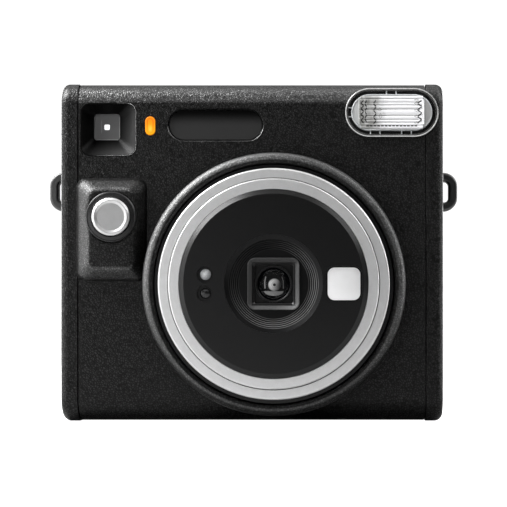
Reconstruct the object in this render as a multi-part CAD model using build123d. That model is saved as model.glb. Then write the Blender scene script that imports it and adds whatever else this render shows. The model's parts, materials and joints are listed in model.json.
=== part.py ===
from build123d import *
import math
import os

# Instant film camera with a retractable lens, in millimetres.
# +Z is up, the lens looks along -Y, +X is to the right when the camera is seen from the front.
# The origin is on the underside, half way along the width and half way through the casing.

# ---------------------------------------------------------------- driving dimensions
# casing
BODY_W = 134.6
BODY_H = 119.4
FRONT_Y = -21.0
REAR_Y = 21.0
WALL = 2.0
PART_Y = -4.0              # parting line between front cover and rear cover
SEAM_X = 61.15             # half width of the middle covers; side covers lie outside it
GAP = 0.05                 # assembly gap between touching mouldings
FRONT_INSET = 0.28         # the front cover's top and bottom sit this far inside the side covers
TOP_ROUND = 7.5
BOTTOM_ROUND = 9.0
REAR_ROUND = 6.0
SIDE_ROUND = 2.8
EDGE_ROUND = 0.25          # small rounding where two mouldings meet
FRONT_GROOVE = (0.45, 0.7)  # width and depth of the shadow groove along the front cover's seams
REAR_GROOVE = (0.3, 0.5)
SCREW_XS = (-52.0, -22.0, 22.0, 52.0)
SCREW_Y = 8.0
SCREW_HEAD_R = 2.2

# lens and its rings
LENS_X = 8.05
LENS_Z = 48.1
EXTEND = 18.0              # travel of the lens barrel
TWIST_DEG = 75.0           # turn of the mode ring over that travel
COLLAR_R = 45.55
COLLAR_BORE_R = 41.6
COLLAR_Y = -32.6
GUIDE_OUT_R = 41.2
GUIDE_IN_R = 39.68
GUIDE_FRONT_Y = -31.0
RING_R = 39.85
RING_FACE_Y = -34.6
RING_BACK_Y = -33.1
SKIRT_OUT_R = 39.6
SKIRT_IN_R = 38.0
SKIRT_END_Y = -8.0
BARREL_OUT_R = 37.92
BARREL_IN_R = 36.4
BARREL_FRONT_Y = -34.0
BARREL_END_Y = -7.0
TRIM_R = 36.2
TRIM_FACE_Y = -35.8
FACE_R = 32.45
FACE_Y = -37.0
FACE_BACK_Y = -34.05
FACE_BEVEL = (1.6, 1.1)    # width and depth of the sloping edge of the front disc
RECESS_R = 16.9
RIB_OUT_R = 15.2           # the fine steps of the baffle run between these radii
RIB_IN_R = 11.9
RIB_COUNT = 5
RIB_TOP_Y = -36.1
RIB_FLOOR_Y = -34.4
HOOD_SIDE = 17.8
HOOD_TENON = 16.8          # side of the tenon that plugs into the baffle ring
HOOD_MOUTH = 13.4
HOOD_FRONT_Y = -36.7
LENS_CELL_R = 6.35
CELL_FRONT_Y = -34.9
CELL_BACK_Y = -31.0
APERTURE_R = 1.6
GLASS_R = 5.6
ROD_DX = 34.0              # straight guide rods of the barrel, left and right of the lens
ROD_R = 1.5
PIN_Y = -10.0              # pins of the mode ring that run in the guide's helical slots
PIN_R = 1.3
PIN_COUNT = 3
PIN_START_DEG = 30.0
OVERRUN_DEG = 3.0          # extra length of each slot beyond the pin's travel
SENSOR_DX = -23.3
SENSOR_DZ = 3.2
SENSOR_R = 1.85
SENSOR_DISH_R = 2.95
MIRROR_DX = 24.1
MIRROR_SIDE = 11.2
SHUTTER_R = 15.5
SHUTTER_FRONT_Y = -32.75
SHUTTER_SPLIT_Y = -28.0
BLADE_PIVOT_DX = 9.0
BLADE_T = 0.25
LEFT_BLADE_Y = -29.4
RIGHT_BLADE_Y = -28.8

# finder
FINDER_X = -50.4
FINDER_Z = 102.7
FINDER_W = 19.7
FINDER_H = 18.7
FINDER_FLOOR_Y = -16.3
FINDER_LIP = 0.2           # the bezel's mouth starts this far inside its outline
EYE_X = -51.5              # optical axis of the finder
EYE_Z = 104.05
EYE_WINDOW = 9.3           # square window at the bottom of the finder bezel
EYE_LENS = 10.4
EYE_TUBE_IN = 10.6
EYE_TUBE_OUT = 12.6
EYEPIECE_Y = 18.9          # front of the eyepiece frame
EYEPIECE_END_Y = 23.9

# small fittings of the front
LAMP_X = -35.65
LAMP_Z = 103.9
LAMP_W = 3.6
LAMP_H = 6.65
PLATE_X = -12.76
PLATE_Z = 104.3
PLATE_W = 33.3
PLATE_H = 11.05
PLATE_RECESS = 1.6         # depth of the plate's recess below the front
PLATE_PAD = 1.0            # material left round and behind that recess
PLATE_T = 0.55
PLATE_EDGE = 0.35          # sloping edge of that recess
MARK_Z = 94.9              # index mark above the lens

# flash
FLASH_X = 49.06
FLASH_Z = 108.45
FLASH_W = 32.6
FLASH_H = 17.0
FLASH_WEB_Y = -20.9        # sunken web of the cover, between its rim and its raised centre
FLASH_BACK_Y = -19.9
FLASH_RIM_Y = -22.7
FLASH_RIM_T = 0.85
FLASH_CENTRE_W = 28.1
FLASH_CENTRE_H = 12.8
TROUGH_HALF = 5.5          # half height of the reflector's mouth
TROUGH_DEPTH = 7.6
TROUGH_LONG = 11.0         # half length of the reflector
RIB_T = 0.45               # thickness of the flash cover's ribs
TUBE_Y = -14.6
TUBE_R = 1.35
CAPACITOR_X = 54.0
CAPACITOR_Y = -11.5
CAPACITOR_Z = 72.0
CAPACITOR_R = 4.6
CAPACITOR_LEN = 30.0

# shutter grip and button
GRIP_X = -49.25
GRIP_Z = 67.4
GRIP_W = 24.9
GRIP_H = 36.2
GRIP_TOP_X = -48.8
GRIP_TOP_W = 16.0
GRIP_TOP_H = 27.4
GRIP_Y = -26.8
GRIP_ROUND = 2.6
GRIP_WALL = 2.2
BUTTON_X = -48.75
BUTTON_Z = 71.6
BUTTON_R = 6.6
BUTTON_FACE_Y = -28.15
BUTTON_END_Y = -19.4       # end of the stem that works the switch
STEM_R = 3.0
BEZEL_IN_R = 6.8
BEZEL_OUT_R = 8.75
BEZEL_NECK_R = 7.55        # the part of the bezel that passes through the grip
BEZEL_SEAT = 1.3           # depth of the bezel's seat in the grip

# strap lugs
LUG_Y = -5.0
LUG_Z = 81.8
LUG_OUT = 5.9
LUG_HALF_H = 6.95
TENON_HALF_H = 5.5
TENON_HALF_T = 1.2

# film chamber, rear door and latch
CHAMBER_X = LENS_X         # the film chamber is centred on the lens
CHAMBER_Z = 54.6
CHAMBER_WALL = 1.5
CHAMBER_REAR_Y = 18.9
PACK_W = 78.6
PACK_H = 93.6
WINDOW = 63.0
EXIT_SLOT_W = PACK_W - 3.0
EXIT_SLOT_Y0 = 2.2
EXIT_SLOT_Y1 = 5.0
DOOR_LEFT_X = -35.0
DOOR_Z0 = 6.6
DOOR_Z1 = 105.4
DOOR_T = 2.0
DOOR_GAP = 0.3
HINGE_X = 57.0
HINGE_Y = 19.6
HINGE_PIN_R = 0.75
DOOR_WINDOW_Z = 62.0
DOOR_WINDOW_W = 13.6
DOOR_WINDOW_H = 29.6
LATCH_X = -41.5
LATCH_Z = 44.0
LATCH_W = 6.6
LATCH_H = 10.8
LATCH_STEM_W = 3.2
LATCH_STEM_H = 4.6
LATCH_TRAVEL = 3.4

# film rollers and their drive
ROLLER_R = 3.5
ROLLER_Z = 107.0
FRONT_ROLLER_Y = 0.0
REAR_ROLLER_Y = 7.2
ROLLER_X0 = -31.2
ROLLER_X1 = 47.2
SHAFT_R = 1.5
AXLE_R = 1.0
FRAME_T = 1.4              # thickness of the roller frame and the gear plate
MODULE = 0.6
ROLLER_TEETH = 12
IDLER_TEETH = 30
SMALL_TEETH = 12
BIG_TEETH = 36
PINION_TEETH = 10
GEAR_X = -35.6             # inner gear plane: roller gears, idler, small reduction gear
GEAR_T = 2.2
OUTER_GEAR_X = -38.3       # outer gear plane: big reduction gear, motor pinion
IDLER_Y = -5.0
REDUCTION_DY = 4.0         # the reduction gear lies this far behind the idler
PINION_DY = 2.9            # and the pinion this far behind the reduction gear
MOTOR_FACE_X = OUTER_GEAR_X - 1.85
MOTOR_R = 7.4
MOTOR_LEN = 19.0
MOTOR_NOSE_R = 2.5

# batteries
BATTERY_R = 7.8
BATTERY_LEN = 27.0
BATTERY_X = -63.3          # outer end of the batteries
BATTERY_ZS = (20.5, 37.0)
BATTERY_DOOR_T = 1.8
BATTERY_DOOR_HALF = 10.9   # half width of the battery door
BATTERY_DOOR_TOP = 48.1
BATTERY_HINGE_Z = 9.5
BATTERY_PIVOT_R = 0.55
HOLDER_X0 = -64.0
HOLDER_X1 = -33.6
HOLDER_HALF = 9.8
HOLDER_Z0 = 10.8
HOLDER_Z1 = 46.7

# exposure counter
COUNTER_X = -48.5
COUNTER_Z = 62.0
COUNTER_R = 8.5
COUNTER_PIN_R = 1.0        # pin on the rear cover on which the dial turns
COUNTER_SHEETS = 12
COUNTER_WINDOW_DZ = 5.5
COUNTER_WINDOW_W = 7.0
COUNTER_WINDOW_H = 5.0

# circuit board
BOARD_FRONT_Y = -16.6
BOARD_BACK_Y = -15.2


# ---------------------------------------------------------------- small modelling helpers
def front_plane(y):
    """Sketch plane facing the viewer in front: sketch x is X, sketch y is Z, normal is -Y."""
    return Plane(origin=(0, y, 0), x_dir=(1, 0, 0), z_dir=(0, -1, 0))


def side_plane(x):
    """Sketch plane across the width: sketch x is Y, sketch y is Z, normal is +X."""
    return Plane(origin=(x, 0, 0), x_dir=(0, 1, 0), z_dir=(1, 0, 0))


def prism(sketch, y_front, y_rear):
    """A front-plane sketch made solid between two depths."""
    return extrude(front_plane(y_rear) * sketch, amount=y_rear - y_front)


def bar(sketch, x0, x1):
    """A side-plane sketch made solid between two X positions."""
    return extrude(side_plane(x0) * sketch, amount=x1 - x0)


def rect(x, z, w, h, r=0.0):
    """A rectangle centred on (x, z), with corner radius r."""
    shape = RectangleRounded(w, h, r) if r else Rectangle(w, h)
    return Pos(x, z) * shape


def disc(x, z, r):
    """A circle about (x, z)."""
    return Pos(x, z) * Circle(r)


def pill(x, z, w, h):
    """A stadium, long side along the sketch x when w > h, otherwise along y."""
    if w > h:
        return Pos(x, z) * SlotOverall(w, h)
    return Pos(x, z) * Rot(0, 0, 90) * SlotOverall(h, w)


def outline(points, radii=None):
    """A closed polygon whose listed corners are rounded; radii maps corner index to radius."""
    face = make_face(Polyline(*points, close=True))
    for index, radius in (radii or {}).items():
        corner = face.vertices().sort_by_distance((points[index][0], points[index][1], 0))[0]
        face = fillet(corner, radius)
    return face


def turned(points, x, z, radii=None):
    """Solid of revolution about an axis along Y through (x, z); points are (radius, y)."""
    face = outline(points, radii)
    return revolve(Pos(x, 0, z) * face, Axis((x, 0, z), (0, 1, 0)))


def box(x0, x1, y0, y1, z0, z1):
    """A block between two corners."""
    centre = Pos((x0 + x1) / 2, (y0 + y1) / 2, (z0 + z1) / 2)
    return centre * Box(x1 - x0, y1 - y0, z1 - z0)


def funnel(x, z, outer, inner, y_front, y_rear, inner_x=None, inner_z=None):
    """Tapered rounded-rectangle solid; outer and inner are (width, height, corner radius)."""
    near = front_plane(y_front) * rect(x, z, *outer)
    centre_x = x if inner_x is None else inner_x
    centre_z = z if inner_z is None else inner_z
    far = front_plane(y_rear) * rect(centre_x, centre_z, *inner)
    return loft([near, far])


def ball(x, y, z, r):
    """A sphere whose surface makes a lens dome or a dish."""
    return Pos(x, y, z) * Sphere(r)


def save(shape, name):
    """Writes one named piece."""
    export_step(shape, f"parts/{name}.step")


# ---------------------------------------------------------------- casing
def cover_section(front, inset, shrink=0.0, edge=0.0):
    """Filled profile (Y, Z) of the front or rear cover, pulled in by shrink except at the parting line."""
    face_y = FRONT_Y + shrink if front else REAR_Y - shrink
    part_y = PART_Y - GAP if front else PART_Y + GAP
    low = (BOTTOM_ROUND if front else REAR_ROUND) - shrink
    high = (TOP_ROUND if front else REAR_ROUND) - shrink
    z0 = inset + shrink
    z1 = BODY_H - z0
    radii = {1: low, 2: high}
    if edge:
        radii[0] = edge
        radii[3] = edge
    return outline([(part_y, z0), (face_y, z0), (face_y, z1), (part_y, z1)], radii)


def cover_shell(front, inset):
    """The front or rear cover before its openings, open towards the parting line and the sides."""
    section = cover_section(front, inset, edge=EDGE_ROUND) - cover_section(front, inset, WALL)
    return bar(section, -SEAM_X, SEAM_X)


def seam_grooves(front, inset, groove):
    """Cutters for the shadow grooves along a middle cover's two side seams."""
    width, depth = groove
    skin = cover_section(front, inset - 1) - cover_section(front, inset, depth)
    right = bar(skin, SEAM_X - width, SEAM_X + 1)
    return right + mirror(right, about=Plane.YZ)


def make_front_cover():
    cover = cover_shell(True, FRONT_INSET)
    pad = pill(PLATE_X, PLATE_Z, PLATE_W + 2 * PLATE_PAD, PLATE_H + 2 * PLATE_PAD)
    cover += prism(pad, FRONT_Y + WALL / 2, FRONT_Y + PLATE_RECESS + PLATE_PAD)
    cover -= seam_grooves(True, FRONT_INSET, FRONT_GROOVE)
    cover -= prism(disc(LENS_X, LENS_Z, COLLAR_BORE_R + 0.4), FRONT_Y - 1, FRONT_Y + 4)
    cover -= prism(rect(FINDER_X, FINDER_Z, FINDER_W, FINDER_H, 3.3), FRONT_Y - 1, FRONT_Y + 4)
    cover -= prism(pill(LAMP_X, LAMP_Z, LAMP_W + 0.1, LAMP_H + 0.1), FRONT_Y - 1, FRONT_Y + 4)
    cover -= prism(pill(PLATE_X, PLATE_Z, PLATE_W, PLATE_H), FRONT_Y - 1, FRONT_Y + PLATE_RECESS)
    cover -= plate_recess_edge()
    cover -= flash_opening()
    cover -= prism(disc(BUTTON_X, BUTTON_Z, STEM_R + 0.3), FRONT_Y - 1, FRONT_Y + 4)
    index_mark = prism(rect(LENS_X, MARK_Z, 0.55, 1.9, 0.25), FRONT_Y - 0.3, FRONT_Y + 0.5)
    return cover + index_mark


def plate_recess_edge():
    """Cutter for the sloping edge round the name plate's recess."""
    wide = front_plane(FRONT_Y) * pill(PLATE_X, PLATE_Z, PLATE_W + 2 * PLATE_EDGE, PLATE_H + 2 * PLATE_EDGE)
    narrow = front_plane(FRONT_Y + PLATE_EDGE) * pill(PLATE_X, PLATE_Z, PLATE_W, PLATE_H)
    return loft([wide, narrow])


def flash_opening():
    """Cutter for the flash, which crosses the seam between the front cover and the right side cover."""
    return prism(pill(FLASH_X, FLASH_Z, FLASH_W + 0.2, FLASH_H + 0.2), FRONT_Y - 3, FRONT_Y + 12)


def make_rear_cover():
    cover = cover_shell(False, 0.0)
    cover -= seam_grooves(False, 0.0, REAR_GROOVE)
    cover -= box(DOOR_LEFT_X - DOOR_GAP, HINGE_X + 3.4, HINGE_Y - 1, REAR_Y + 2,
                 DOOR_Z0 - DOOR_GAP, DOOR_Z1 + DOOR_GAP)
    cover -= box(CHAMBER_X - PACK_W / 2 - 2, HINGE_X + 3.4, REAR_Y - 4, REAR_Y,
                 DOOR_Z0 + 1.0, DOOR_Z1 - 1.0)
    cover -= exit_slot(BODY_H - 4, BODY_H + 1)
    cover -= prism(rect(EYE_X, EYE_Z, 13.0, 13.0, 1.5), REAR_Y - 4, REAR_Y + 1)
    cover -= prism(counter_opening(0.0), REAR_Y - 4, REAR_Y + 1)
    cover -= prism(latch_slot(), REAR_Y - 4, REAR_Y + 1)
    cover += prism(disc(COUNTER_X, COUNTER_Z, COUNTER_PIN_R), 16.9, REAR_Y - 1.0)
    for x in SCREW_XS:
        cover -= Pos(x, SCREW_Y, 0.5) * Cylinder(SCREW_HEAD_R + 0.3, 1.4)
        cover -= Pos(x, SCREW_Y, 2) * Cylinder(1.05, 6)
    for z in (DOOR_Z0 - DOOR_GAP, DOOR_Z1 + DOOR_GAP):
        cover -= Pos(HINGE_X, HINGE_Y, z) * Cylinder(HINGE_PIN_R + GAP, 4.0)
    return cover


def counter_opening(shrink):
    """Outline of the counter's window, pulled in by shrink."""
    z = COUNTER_Z + COUNTER_WINDOW_DZ
    return rect(COUNTER_X, z, COUNTER_WINDOW_W - shrink, COUNTER_WINDOW_H - shrink, 0.95)


def latch_slot():
    """Slot for the stem of the door latch, which slides down from its rest position."""
    height = LATCH_STEM_H + LATCH_TRAVEL + 0.4
    return rect(LATCH_X, LATCH_Z + 2.5 - height / 2 + 0.2, LATCH_STEM_W + 0.2, height)


def exit_slot(z0, z1):
    """Cutter for the slot through which a print leaves the camera."""
    half = EXIT_SLOT_W / 2
    return box(CHAMBER_X - half, CHAMBER_X + half, EXIT_SLOT_Y0, EXIT_SLOT_Y1, z0, z1)


def side_section(shrink):
    """Full side profile (Y, Z) of a side cover, pulled in by shrink all round."""
    y0 = FRONT_Y + shrink
    y1 = REAR_Y - shrink
    z0 = shrink
    z1 = BODY_H - shrink
    rear = REAR_ROUND - shrink
    radii = {0: BOTTOM_ROUND - shrink, 1: TOP_ROUND - shrink, 2: rear, 3: rear}
    return outline([(y0, z0), (y0, z1), (y1, z1), (y1, z0)], radii)


def side_cover():
    """The -X side cover: a shallow rounded tray, open towards the middle."""
    outer_x = -BODY_W / 2
    tray = bar(side_section(0.0), outer_x, -SEAM_X - GAP)
    tray = fillet(tray.faces().sort_by(Axis.X)[0].edges(), SIDE_ROUND)
    tray = fillet(tray.faces().sort_by(Axis.X)[-1].edges(), EDGE_ROUND)
    tray -= bar(side_section(WALL), outer_x + WALL, -SEAM_X + 1)
    half_t = TENON_HALF_T + GAP
    half_h = TENON_HALF_H + GAP
    return tray - box(outer_x - 1, outer_x + 3, LUG_Y - half_t, LUG_Y + half_t,
                      LUG_Z - half_h, LUG_Z + half_h)


def make_left_side_cover():
    outer_x = -BODY_W / 2
    low_z = 8.9
    high_z = BATTERY_DOOR_TOP + 0.2
    half = BATTERY_DOOR_HALF + 0.2
    tray = side_cover()
    tray -= bar(rect(0, (low_z + high_z) / 2, 2 * half, high_z - low_z, 1.5), outer_x - 1, outer_x + 3)
    tray -= box(outer_x - 1, outer_x + 3, -half, half, 7.1, 14.0)
    for y in (-11.6, 11.6):
        pivot = Rot(90, 0, 0) * Cylinder(BATTERY_PIVOT_R + GAP, 2.2)
        tray -= Pos(outer_x + BATTERY_DOOR_T, y, BATTERY_HINGE_Z) * pivot
    return tray


def make_right_side_cover():
    return mirror(side_cover(), about=Plane.YZ) - flash_opening()


def strap_lug():
    """The -X strap lug: a D-shaped loop with a tenon through the side cover."""
    wall_x = -BODY_W / 2
    loop = outline(
        [(wall_x, LUG_Z - LUG_HALF_H), (wall_x - LUG_OUT, LUG_Z - LUG_HALF_H),
         (wall_x - LUG_OUT, LUG_Z + LUG_HALF_H), (wall_x, LUG_Z + LUG_HALF_H)],
        {1: 5.0, 2: 5.0},
    )
    eye = outline(
        [(wall_x - 0.4, LUG_Z - 3.7), (wall_x - 2.7, LUG_Z - 3.7),
         (wall_x - 2.7, LUG_Z + 3.7), (wall_x - 0.4, LUG_Z + 3.7)],
        {1: 1.6, 2: 1.6},
    )
    body = prism(loop - eye, LUG_Y - 2.3, LUG_Y + 2.3)
    rounded = [e for e in body.edges() if e.center().X < wall_x - 0.5]
    body = fillet(rounded, 0.9)
    tenon = box(wall_x - 0.2, wall_x + 3.2, LUG_Y - TENON_HALF_T, LUG_Y + TENON_HALF_T,
                LUG_Z - TENON_HALF_H, LUG_Z + TENON_HALF_H)
    return body + tenon


def make_strap_lugs():
    left = strap_lug()
    right = mirror(left, about=Plane.YZ)
    return Compound(children=[left.solid(), right.solid()])


def make_case_screws():
    """Cross-head screws that enter through the underside."""
    arm = 1.3
    half_slot = 0.2
    screws = []
    for x in SCREW_XS:
        head = Pos(x, SCREW_Y, 0.65) * Cylinder(SCREW_HEAD_R, 0.9)
        head -= box(x - arm, x + arm, SCREW_Y - half_slot, SCREW_Y + half_slot, 0.1, 0.7)
        head -= box(x - half_slot, x + half_slot, SCREW_Y - arm, SCREW_Y + arm, 0.1, 0.7)
        screws.append(head + Pos(x, SCREW_Y, 3.0) * Cylinder(0.95, 4.0))
    return Compound(children=[s.solid() for s in screws])


# ---------------------------------------------------------------- front fittings
def make_finder_bezel():
    front_y = FRONT_Y - 0.15
    block = rect(FINDER_X, FINDER_Z, FINDER_W - 2 * GAP, FINDER_H - 2 * GAP, 3.25)
    body = prism(block, front_y, FINDER_FLOOR_Y + 0.7)
    body = fillet(body.faces().sort_by(Axis.Y)[0].edges(), 0.12)
    mouth = (FINDER_W - 2 * FINDER_LIP, FINDER_H - 2 * FINDER_LIP, 3.1)
    window = (EYE_WINDOW, EYE_WINDOW, 1.2)
    body -= funnel(FINDER_X, FINDER_Z, mouth, window, front_y - 0.01, FINDER_FLOOR_Y, EYE_X, EYE_Z)
    return body - prism(rect(EYE_X, EYE_Z, *window), FINDER_FLOOR_Y - 0.1, FINDER_FLOOR_Y + 1)


def make_finder_front_lens():
    """Plano-concave front element of the reversed-telescope finder."""
    front_y = FINDER_FLOOR_Y + 0.8
    dish_r = 13.0
    lens = prism(rect(EYE_X, EYE_Z, EYE_LENS, EYE_LENS, 0.8), front_y, front_y + 3.5)
    return lens - ball(EYE_X, front_y + 2.6 + dish_r, EYE_Z, dish_r)


def make_finder_tube():
    outer = rect(EYE_X, EYE_Z, EYE_TUBE_OUT, EYE_TUBE_OUT, 1.2)
    inner = rect(EYE_X, EYE_Z, EYE_TUBE_IN, EYE_TUBE_IN, 0.8)
    return prism(outer - inner, FINDER_FLOOR_Y + 0.8, EYEPIECE_Y)


def make_finder_eyepiece_lens():
    """Plano-convex element at the eye end."""
    dome_r = 30.0
    blank = prism(rect(EYE_X, EYE_Z, EYE_LENS, EYE_LENS, 0.8), EYEPIECE_Y - 3.3, EYEPIECE_Y - 0.1)
    return blank & ball(EYE_X, EYEPIECE_Y - 0.3 - dome_r, EYE_Z, dome_r)


def make_eyepiece_frame():
    frame = prism(rect(EYE_X, EYE_Z, 17.0, 15.4, 3.0), REAR_Y, EYEPIECE_END_Y)
    frame = fillet(frame.faces().sort_by(Axis.Y)[-1].edges(), 1.0)
    frame += prism(rect(EYE_X, EYE_Z, 12.8, 12.8, 1.4), EYEPIECE_Y + GAP, REAR_Y + 0.1)
    inner = (7.2, 7.2, 0.8)
    mouth = (11.0, 10.4, 1.6)
    return frame - funnel(EYE_X, EYE_Z, inner, mouth, EYEPIECE_Y, EYEPIECE_END_Y + 0.1)


def make_indicator_lamp():
    lamp = prism(pill(LAMP_X, LAMP_Z, LAMP_W, LAMP_H), FRONT_Y - 0.45, FRONT_Y + 2.8)
    return fillet(lamp.faces().sort_by(Axis.Y)[0].edges(), 0.4)


def make_name_plate():
    """Pill-shaped plate at the bottom of its recess, left blank."""
    back_y = FRONT_Y + PLATE_RECESS - 0.02
    plate = prism(pill(PLATE_X, PLATE_Z, PLATE_W - 0.7, PLATE_H - 0.7), back_y - PLATE_T, back_y)
    return fillet(plate.faces().sort_by(Axis.Y)[0].edges(), 0.15)


# ---------------------------------------------------------------- flash
def make_flash_lens():
    """Clear cover: outer rim, sunken web bridged by ribs, raised centre with cylinder-lens ridges."""
    inner_w = FLASH_W - 2 * FLASH_RIM_T
    inner_h = FLASH_H - 2 * FLASH_RIM_T
    rim = pill(FLASH_X, FLASH_Z, FLASH_W, FLASH_H) - pill(FLASH_X, FLASH_Z, inner_w, inner_h)
    centre = pill(FLASH_X, FLASH_Z, FLASH_CENTRE_W, FLASH_CENTRE_H)
    centre = prism(centre, FLASH_RIM_Y + 0.1, FLASH_WEB_Y + 0.1)
    cover = prism(pill(FLASH_X, FLASH_Z, FLASH_W, FLASH_H), FLASH_WEB_Y, FLASH_BACK_Y)
    cover += prism(rim, FLASH_RIM_Y, FLASH_WEB_Y + 0.1)
    cover += fillet(centre.faces().sort_by(Axis.Y)[0].edges(), 0.35)
    cover += flash_ribs(inner_w, inner_h)
    ridges = 7
    pitch = 1.4
    for k in range(ridges):
        z = FLASH_Z + (k - ridges // 2) * pitch
        cover -= bar(Pos(FLASH_BACK_Y, z) * Circle(0.42), FLASH_X - TROUGH_LONG, FLASH_X + TROUGH_LONG)
    return cover


def flash_ribs(inner_w, inner_h):
    """Short ribs that join the rim to the raised centre: two above, four below and two at the left."""
    length = 1.6
    reach_z = (inner_h + FLASH_CENTRE_H) / 4
    reach_x = (inner_w + FLASH_CENTRE_W) / 4
    ribs = []
    for dx in (-1.85, 1.5):
        ribs.append(rect(FLASH_X + dx, FLASH_Z + reach_z, RIB_T, length))
    for dx in (-7.45, -4.1, 3.5, 6.85):
        ribs.append(rect(FLASH_X + dx, FLASH_Z - reach_z, RIB_T, length))
    for dz in (-1.5, 1.7):
        ribs.append(rect(FLASH_X - reach_x, FLASH_Z + dz, length, RIB_T))
    return [prism(rib, FLASH_RIM_Y + 0.3, FLASH_WEB_Y + 0.1) for rib in ribs]


def make_flash_housing():
    tub = prism(pill(FLASH_X, FLASH_Z, FLASH_W - 0.1, FLASH_H - 0.1), FLASH_BACK_Y + GAP, -10.2)
    return tub - prism(rect(FLASH_X, FLASH_Z, 23.6, 11.4, 0.3), FLASH_BACK_Y - 0.1, -11.4)


def make_flash_reflector():
    """Polished trough, open at the front, its section a shallow parabola along X."""
    steps = 8
    rim = [TROUGH_HALF * (k / steps * 2 - 1) for k in range(steps + 1)]
    inner = [(FLASH_BACK_Y + TROUGH_DEPTH * (1 - (z / TROUGH_HALF) ** 2), FLASH_Z + z) for z in rim]
    section = make_face([Spline(*inner), Line(inner[-1], inner[0])])
    half_long = TROUGH_LONG + 0.6
    block = bar(Pos(-15.75, FLASH_Z) * Rectangle(8.3, 11.2), FLASH_X - half_long, FLASH_X + half_long)
    trough = block - bar(section, FLASH_X - TROUGH_LONG, FLASH_X + TROUGH_LONG)
    return trough - bar(Pos(TUBE_Y, FLASH_Z) * Circle(TUBE_R + 0.15), FLASH_X - 12, FLASH_X + 12)


def make_flash_tube():
    half_long = TROUGH_LONG + 0.55
    return bar(Pos(TUBE_Y, FLASH_Z) * Circle(TUBE_R), FLASH_X - half_long, FLASH_X + half_long)


def make_flash_capacitor():
    can = Pos(CAPACITOR_X, CAPACITOR_Y, CAPACITOR_Z) * Cylinder(CAPACITOR_R, CAPACITOR_LEN)
    can = fillet(can.edges().sort_by(Axis.Z)[-1], 0.8)
    lead_len = 7.0
    lead_z = CAPACITOR_Z + CAPACITOR_LEN / 2 + lead_len / 2 - 0.5
    for dx in (-2.0, 2.0):
        can += Pos(CAPACITOR_X + dx, CAPACITOR_Y, lead_z) * Cylinder(0.35, lead_len)
    return can


# ---------------------------------------------------------------- shutter grip
def make_grip_housing():
    """Hollow raised grip, its left edge lying over the seam with the side cover."""
    top = (GRIP_TOP_W, GRIP_TOP_H, 2.8)
    base = (GRIP_W, GRIP_H, 3.4)
    shell = funnel(GRIP_TOP_X, GRIP_Z, top, base, GRIP_Y, FRONT_Y, GRIP_X, GRIP_Z)
    shell = fillet(shell.faces().sort_by(Axis.Y)[0].edges(), GRIP_ROUND)
    hollow_y = GRIP_Y + GRIP_WALL
    hollow_top = (GRIP_TOP_W - 3.2, GRIP_TOP_H - 3.2, 1.6)
    hollow_base = (GRIP_W - 2 * GRIP_WALL, GRIP_H - 2 * GRIP_WALL, 2.0)
    shell -= funnel(GRIP_TOP_X, GRIP_Z, hollow_top, hollow_base, hollow_y, FRONT_Y + 0.1, GRIP_X, GRIP_Z)
    shell -= prism(disc(LENS_X, LENS_Z, COLLAR_R + 0.1), GRIP_Y - 1, FRONT_Y + 1)
    shell -= box(-BODY_W / 2, -SEAM_X, FRONT_Y - GAP, FRONT_Y + 1, GRIP_Z - GRIP_H, GRIP_Z + GRIP_H)
    shell -= prism(disc(BUTTON_X, BUTTON_Z, BEZEL_OUT_R + GAP), GRIP_Y - 2, GRIP_Y + BEZEL_SEAT + GAP)
    return shell - prism(disc(BUTTON_X, BUTTON_Z, BEZEL_NECK_R + GAP), GRIP_Y - 2, GRIP_Y + 3)


def make_button_bezel():
    """Dished ring with a raised outer lip, sunk into the grip around the shutter button."""
    seat_y = GRIP_Y + BEZEL_SEAT
    end_y = GRIP_Y + 2.6
    profile = [(BEZEL_IN_R, GRIP_Y - 0.2), (BEZEL_IN_R + 0.3, GRIP_Y - 0.45),
               (BEZEL_OUT_R - 0.6, GRIP_Y - 0.3), (BEZEL_OUT_R - 0.35, GRIP_Y - 0.65),
               (BEZEL_OUT_R, GRIP_Y - 0.3), (BEZEL_OUT_R, seat_y),
               (BEZEL_NECK_R, seat_y), (BEZEL_NECK_R, end_y), (BEZEL_IN_R, end_y)]
    return turned(profile, BUTTON_X, BUTTON_Z, {3: 0.15, 4: 0.15})


def make_shutter_button():
    """Cap with a flat face inside a rounded ridge, a guide skirt and the stem that works the switch."""
    crest_y = BUTTON_FACE_Y - 0.45
    under_y = BUTTON_FACE_Y + 1.3
    skirt_y = BUTTON_FACE_Y + 2.7
    profile = [(0, BUTTON_FACE_Y), (4.75, BUTTON_FACE_Y), (5.75, crest_y), (BUTTON_R, BUTTON_FACE_Y + 0.2),
               (BUTTON_R, skirt_y), (5.5, skirt_y), (5.5, under_y), (STEM_R, under_y),
               (STEM_R, BUTTON_END_Y), (0, BUTTON_END_Y)]
    return turned(profile, BUTTON_X, BUTTON_Z, {1: 0.6, 2: 0.3, 3: 0.3})


def make_button_spring():
    """Return spring between the front cover and the button."""
    wire_r = 0.3
    coil = Helix(pitch=1.25, height=5.0, radius=4.0)
    wire = sweep(Plane(origin=coil @ 0, z_dir=coil % 0) * Circle(wire_r), path=coil, is_frenet=True)
    return front_plane(FRONT_Y - wire_r - 0.08) * Pos(BUTTON_X, BUTTON_Z, 0) * wire


# ---------------------------------------------------------------- lens
def lens_disc(radius):
    return disc(LENS_X, LENS_Z, radius)


def make_lens_collar():
    points = [(COLLAR_BORE_R, FRONT_Y), (COLLAR_R, FRONT_Y),
              (COLLAR_R, COLLAR_Y), (COLLAR_BORE_R, COLLAR_Y)]
    return turned(points, LENS_X, LENS_Z, {2: 2.6, 3: 1.2})


def guide_frame(y):
    """Frame on the lens axis: local z points forward (-Y), local x is X."""
    return Plane(origin=(LENS_X, y, LENS_Z), x_dir=(1, 0, 0), z_dir=(0, -1, 0))


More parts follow.
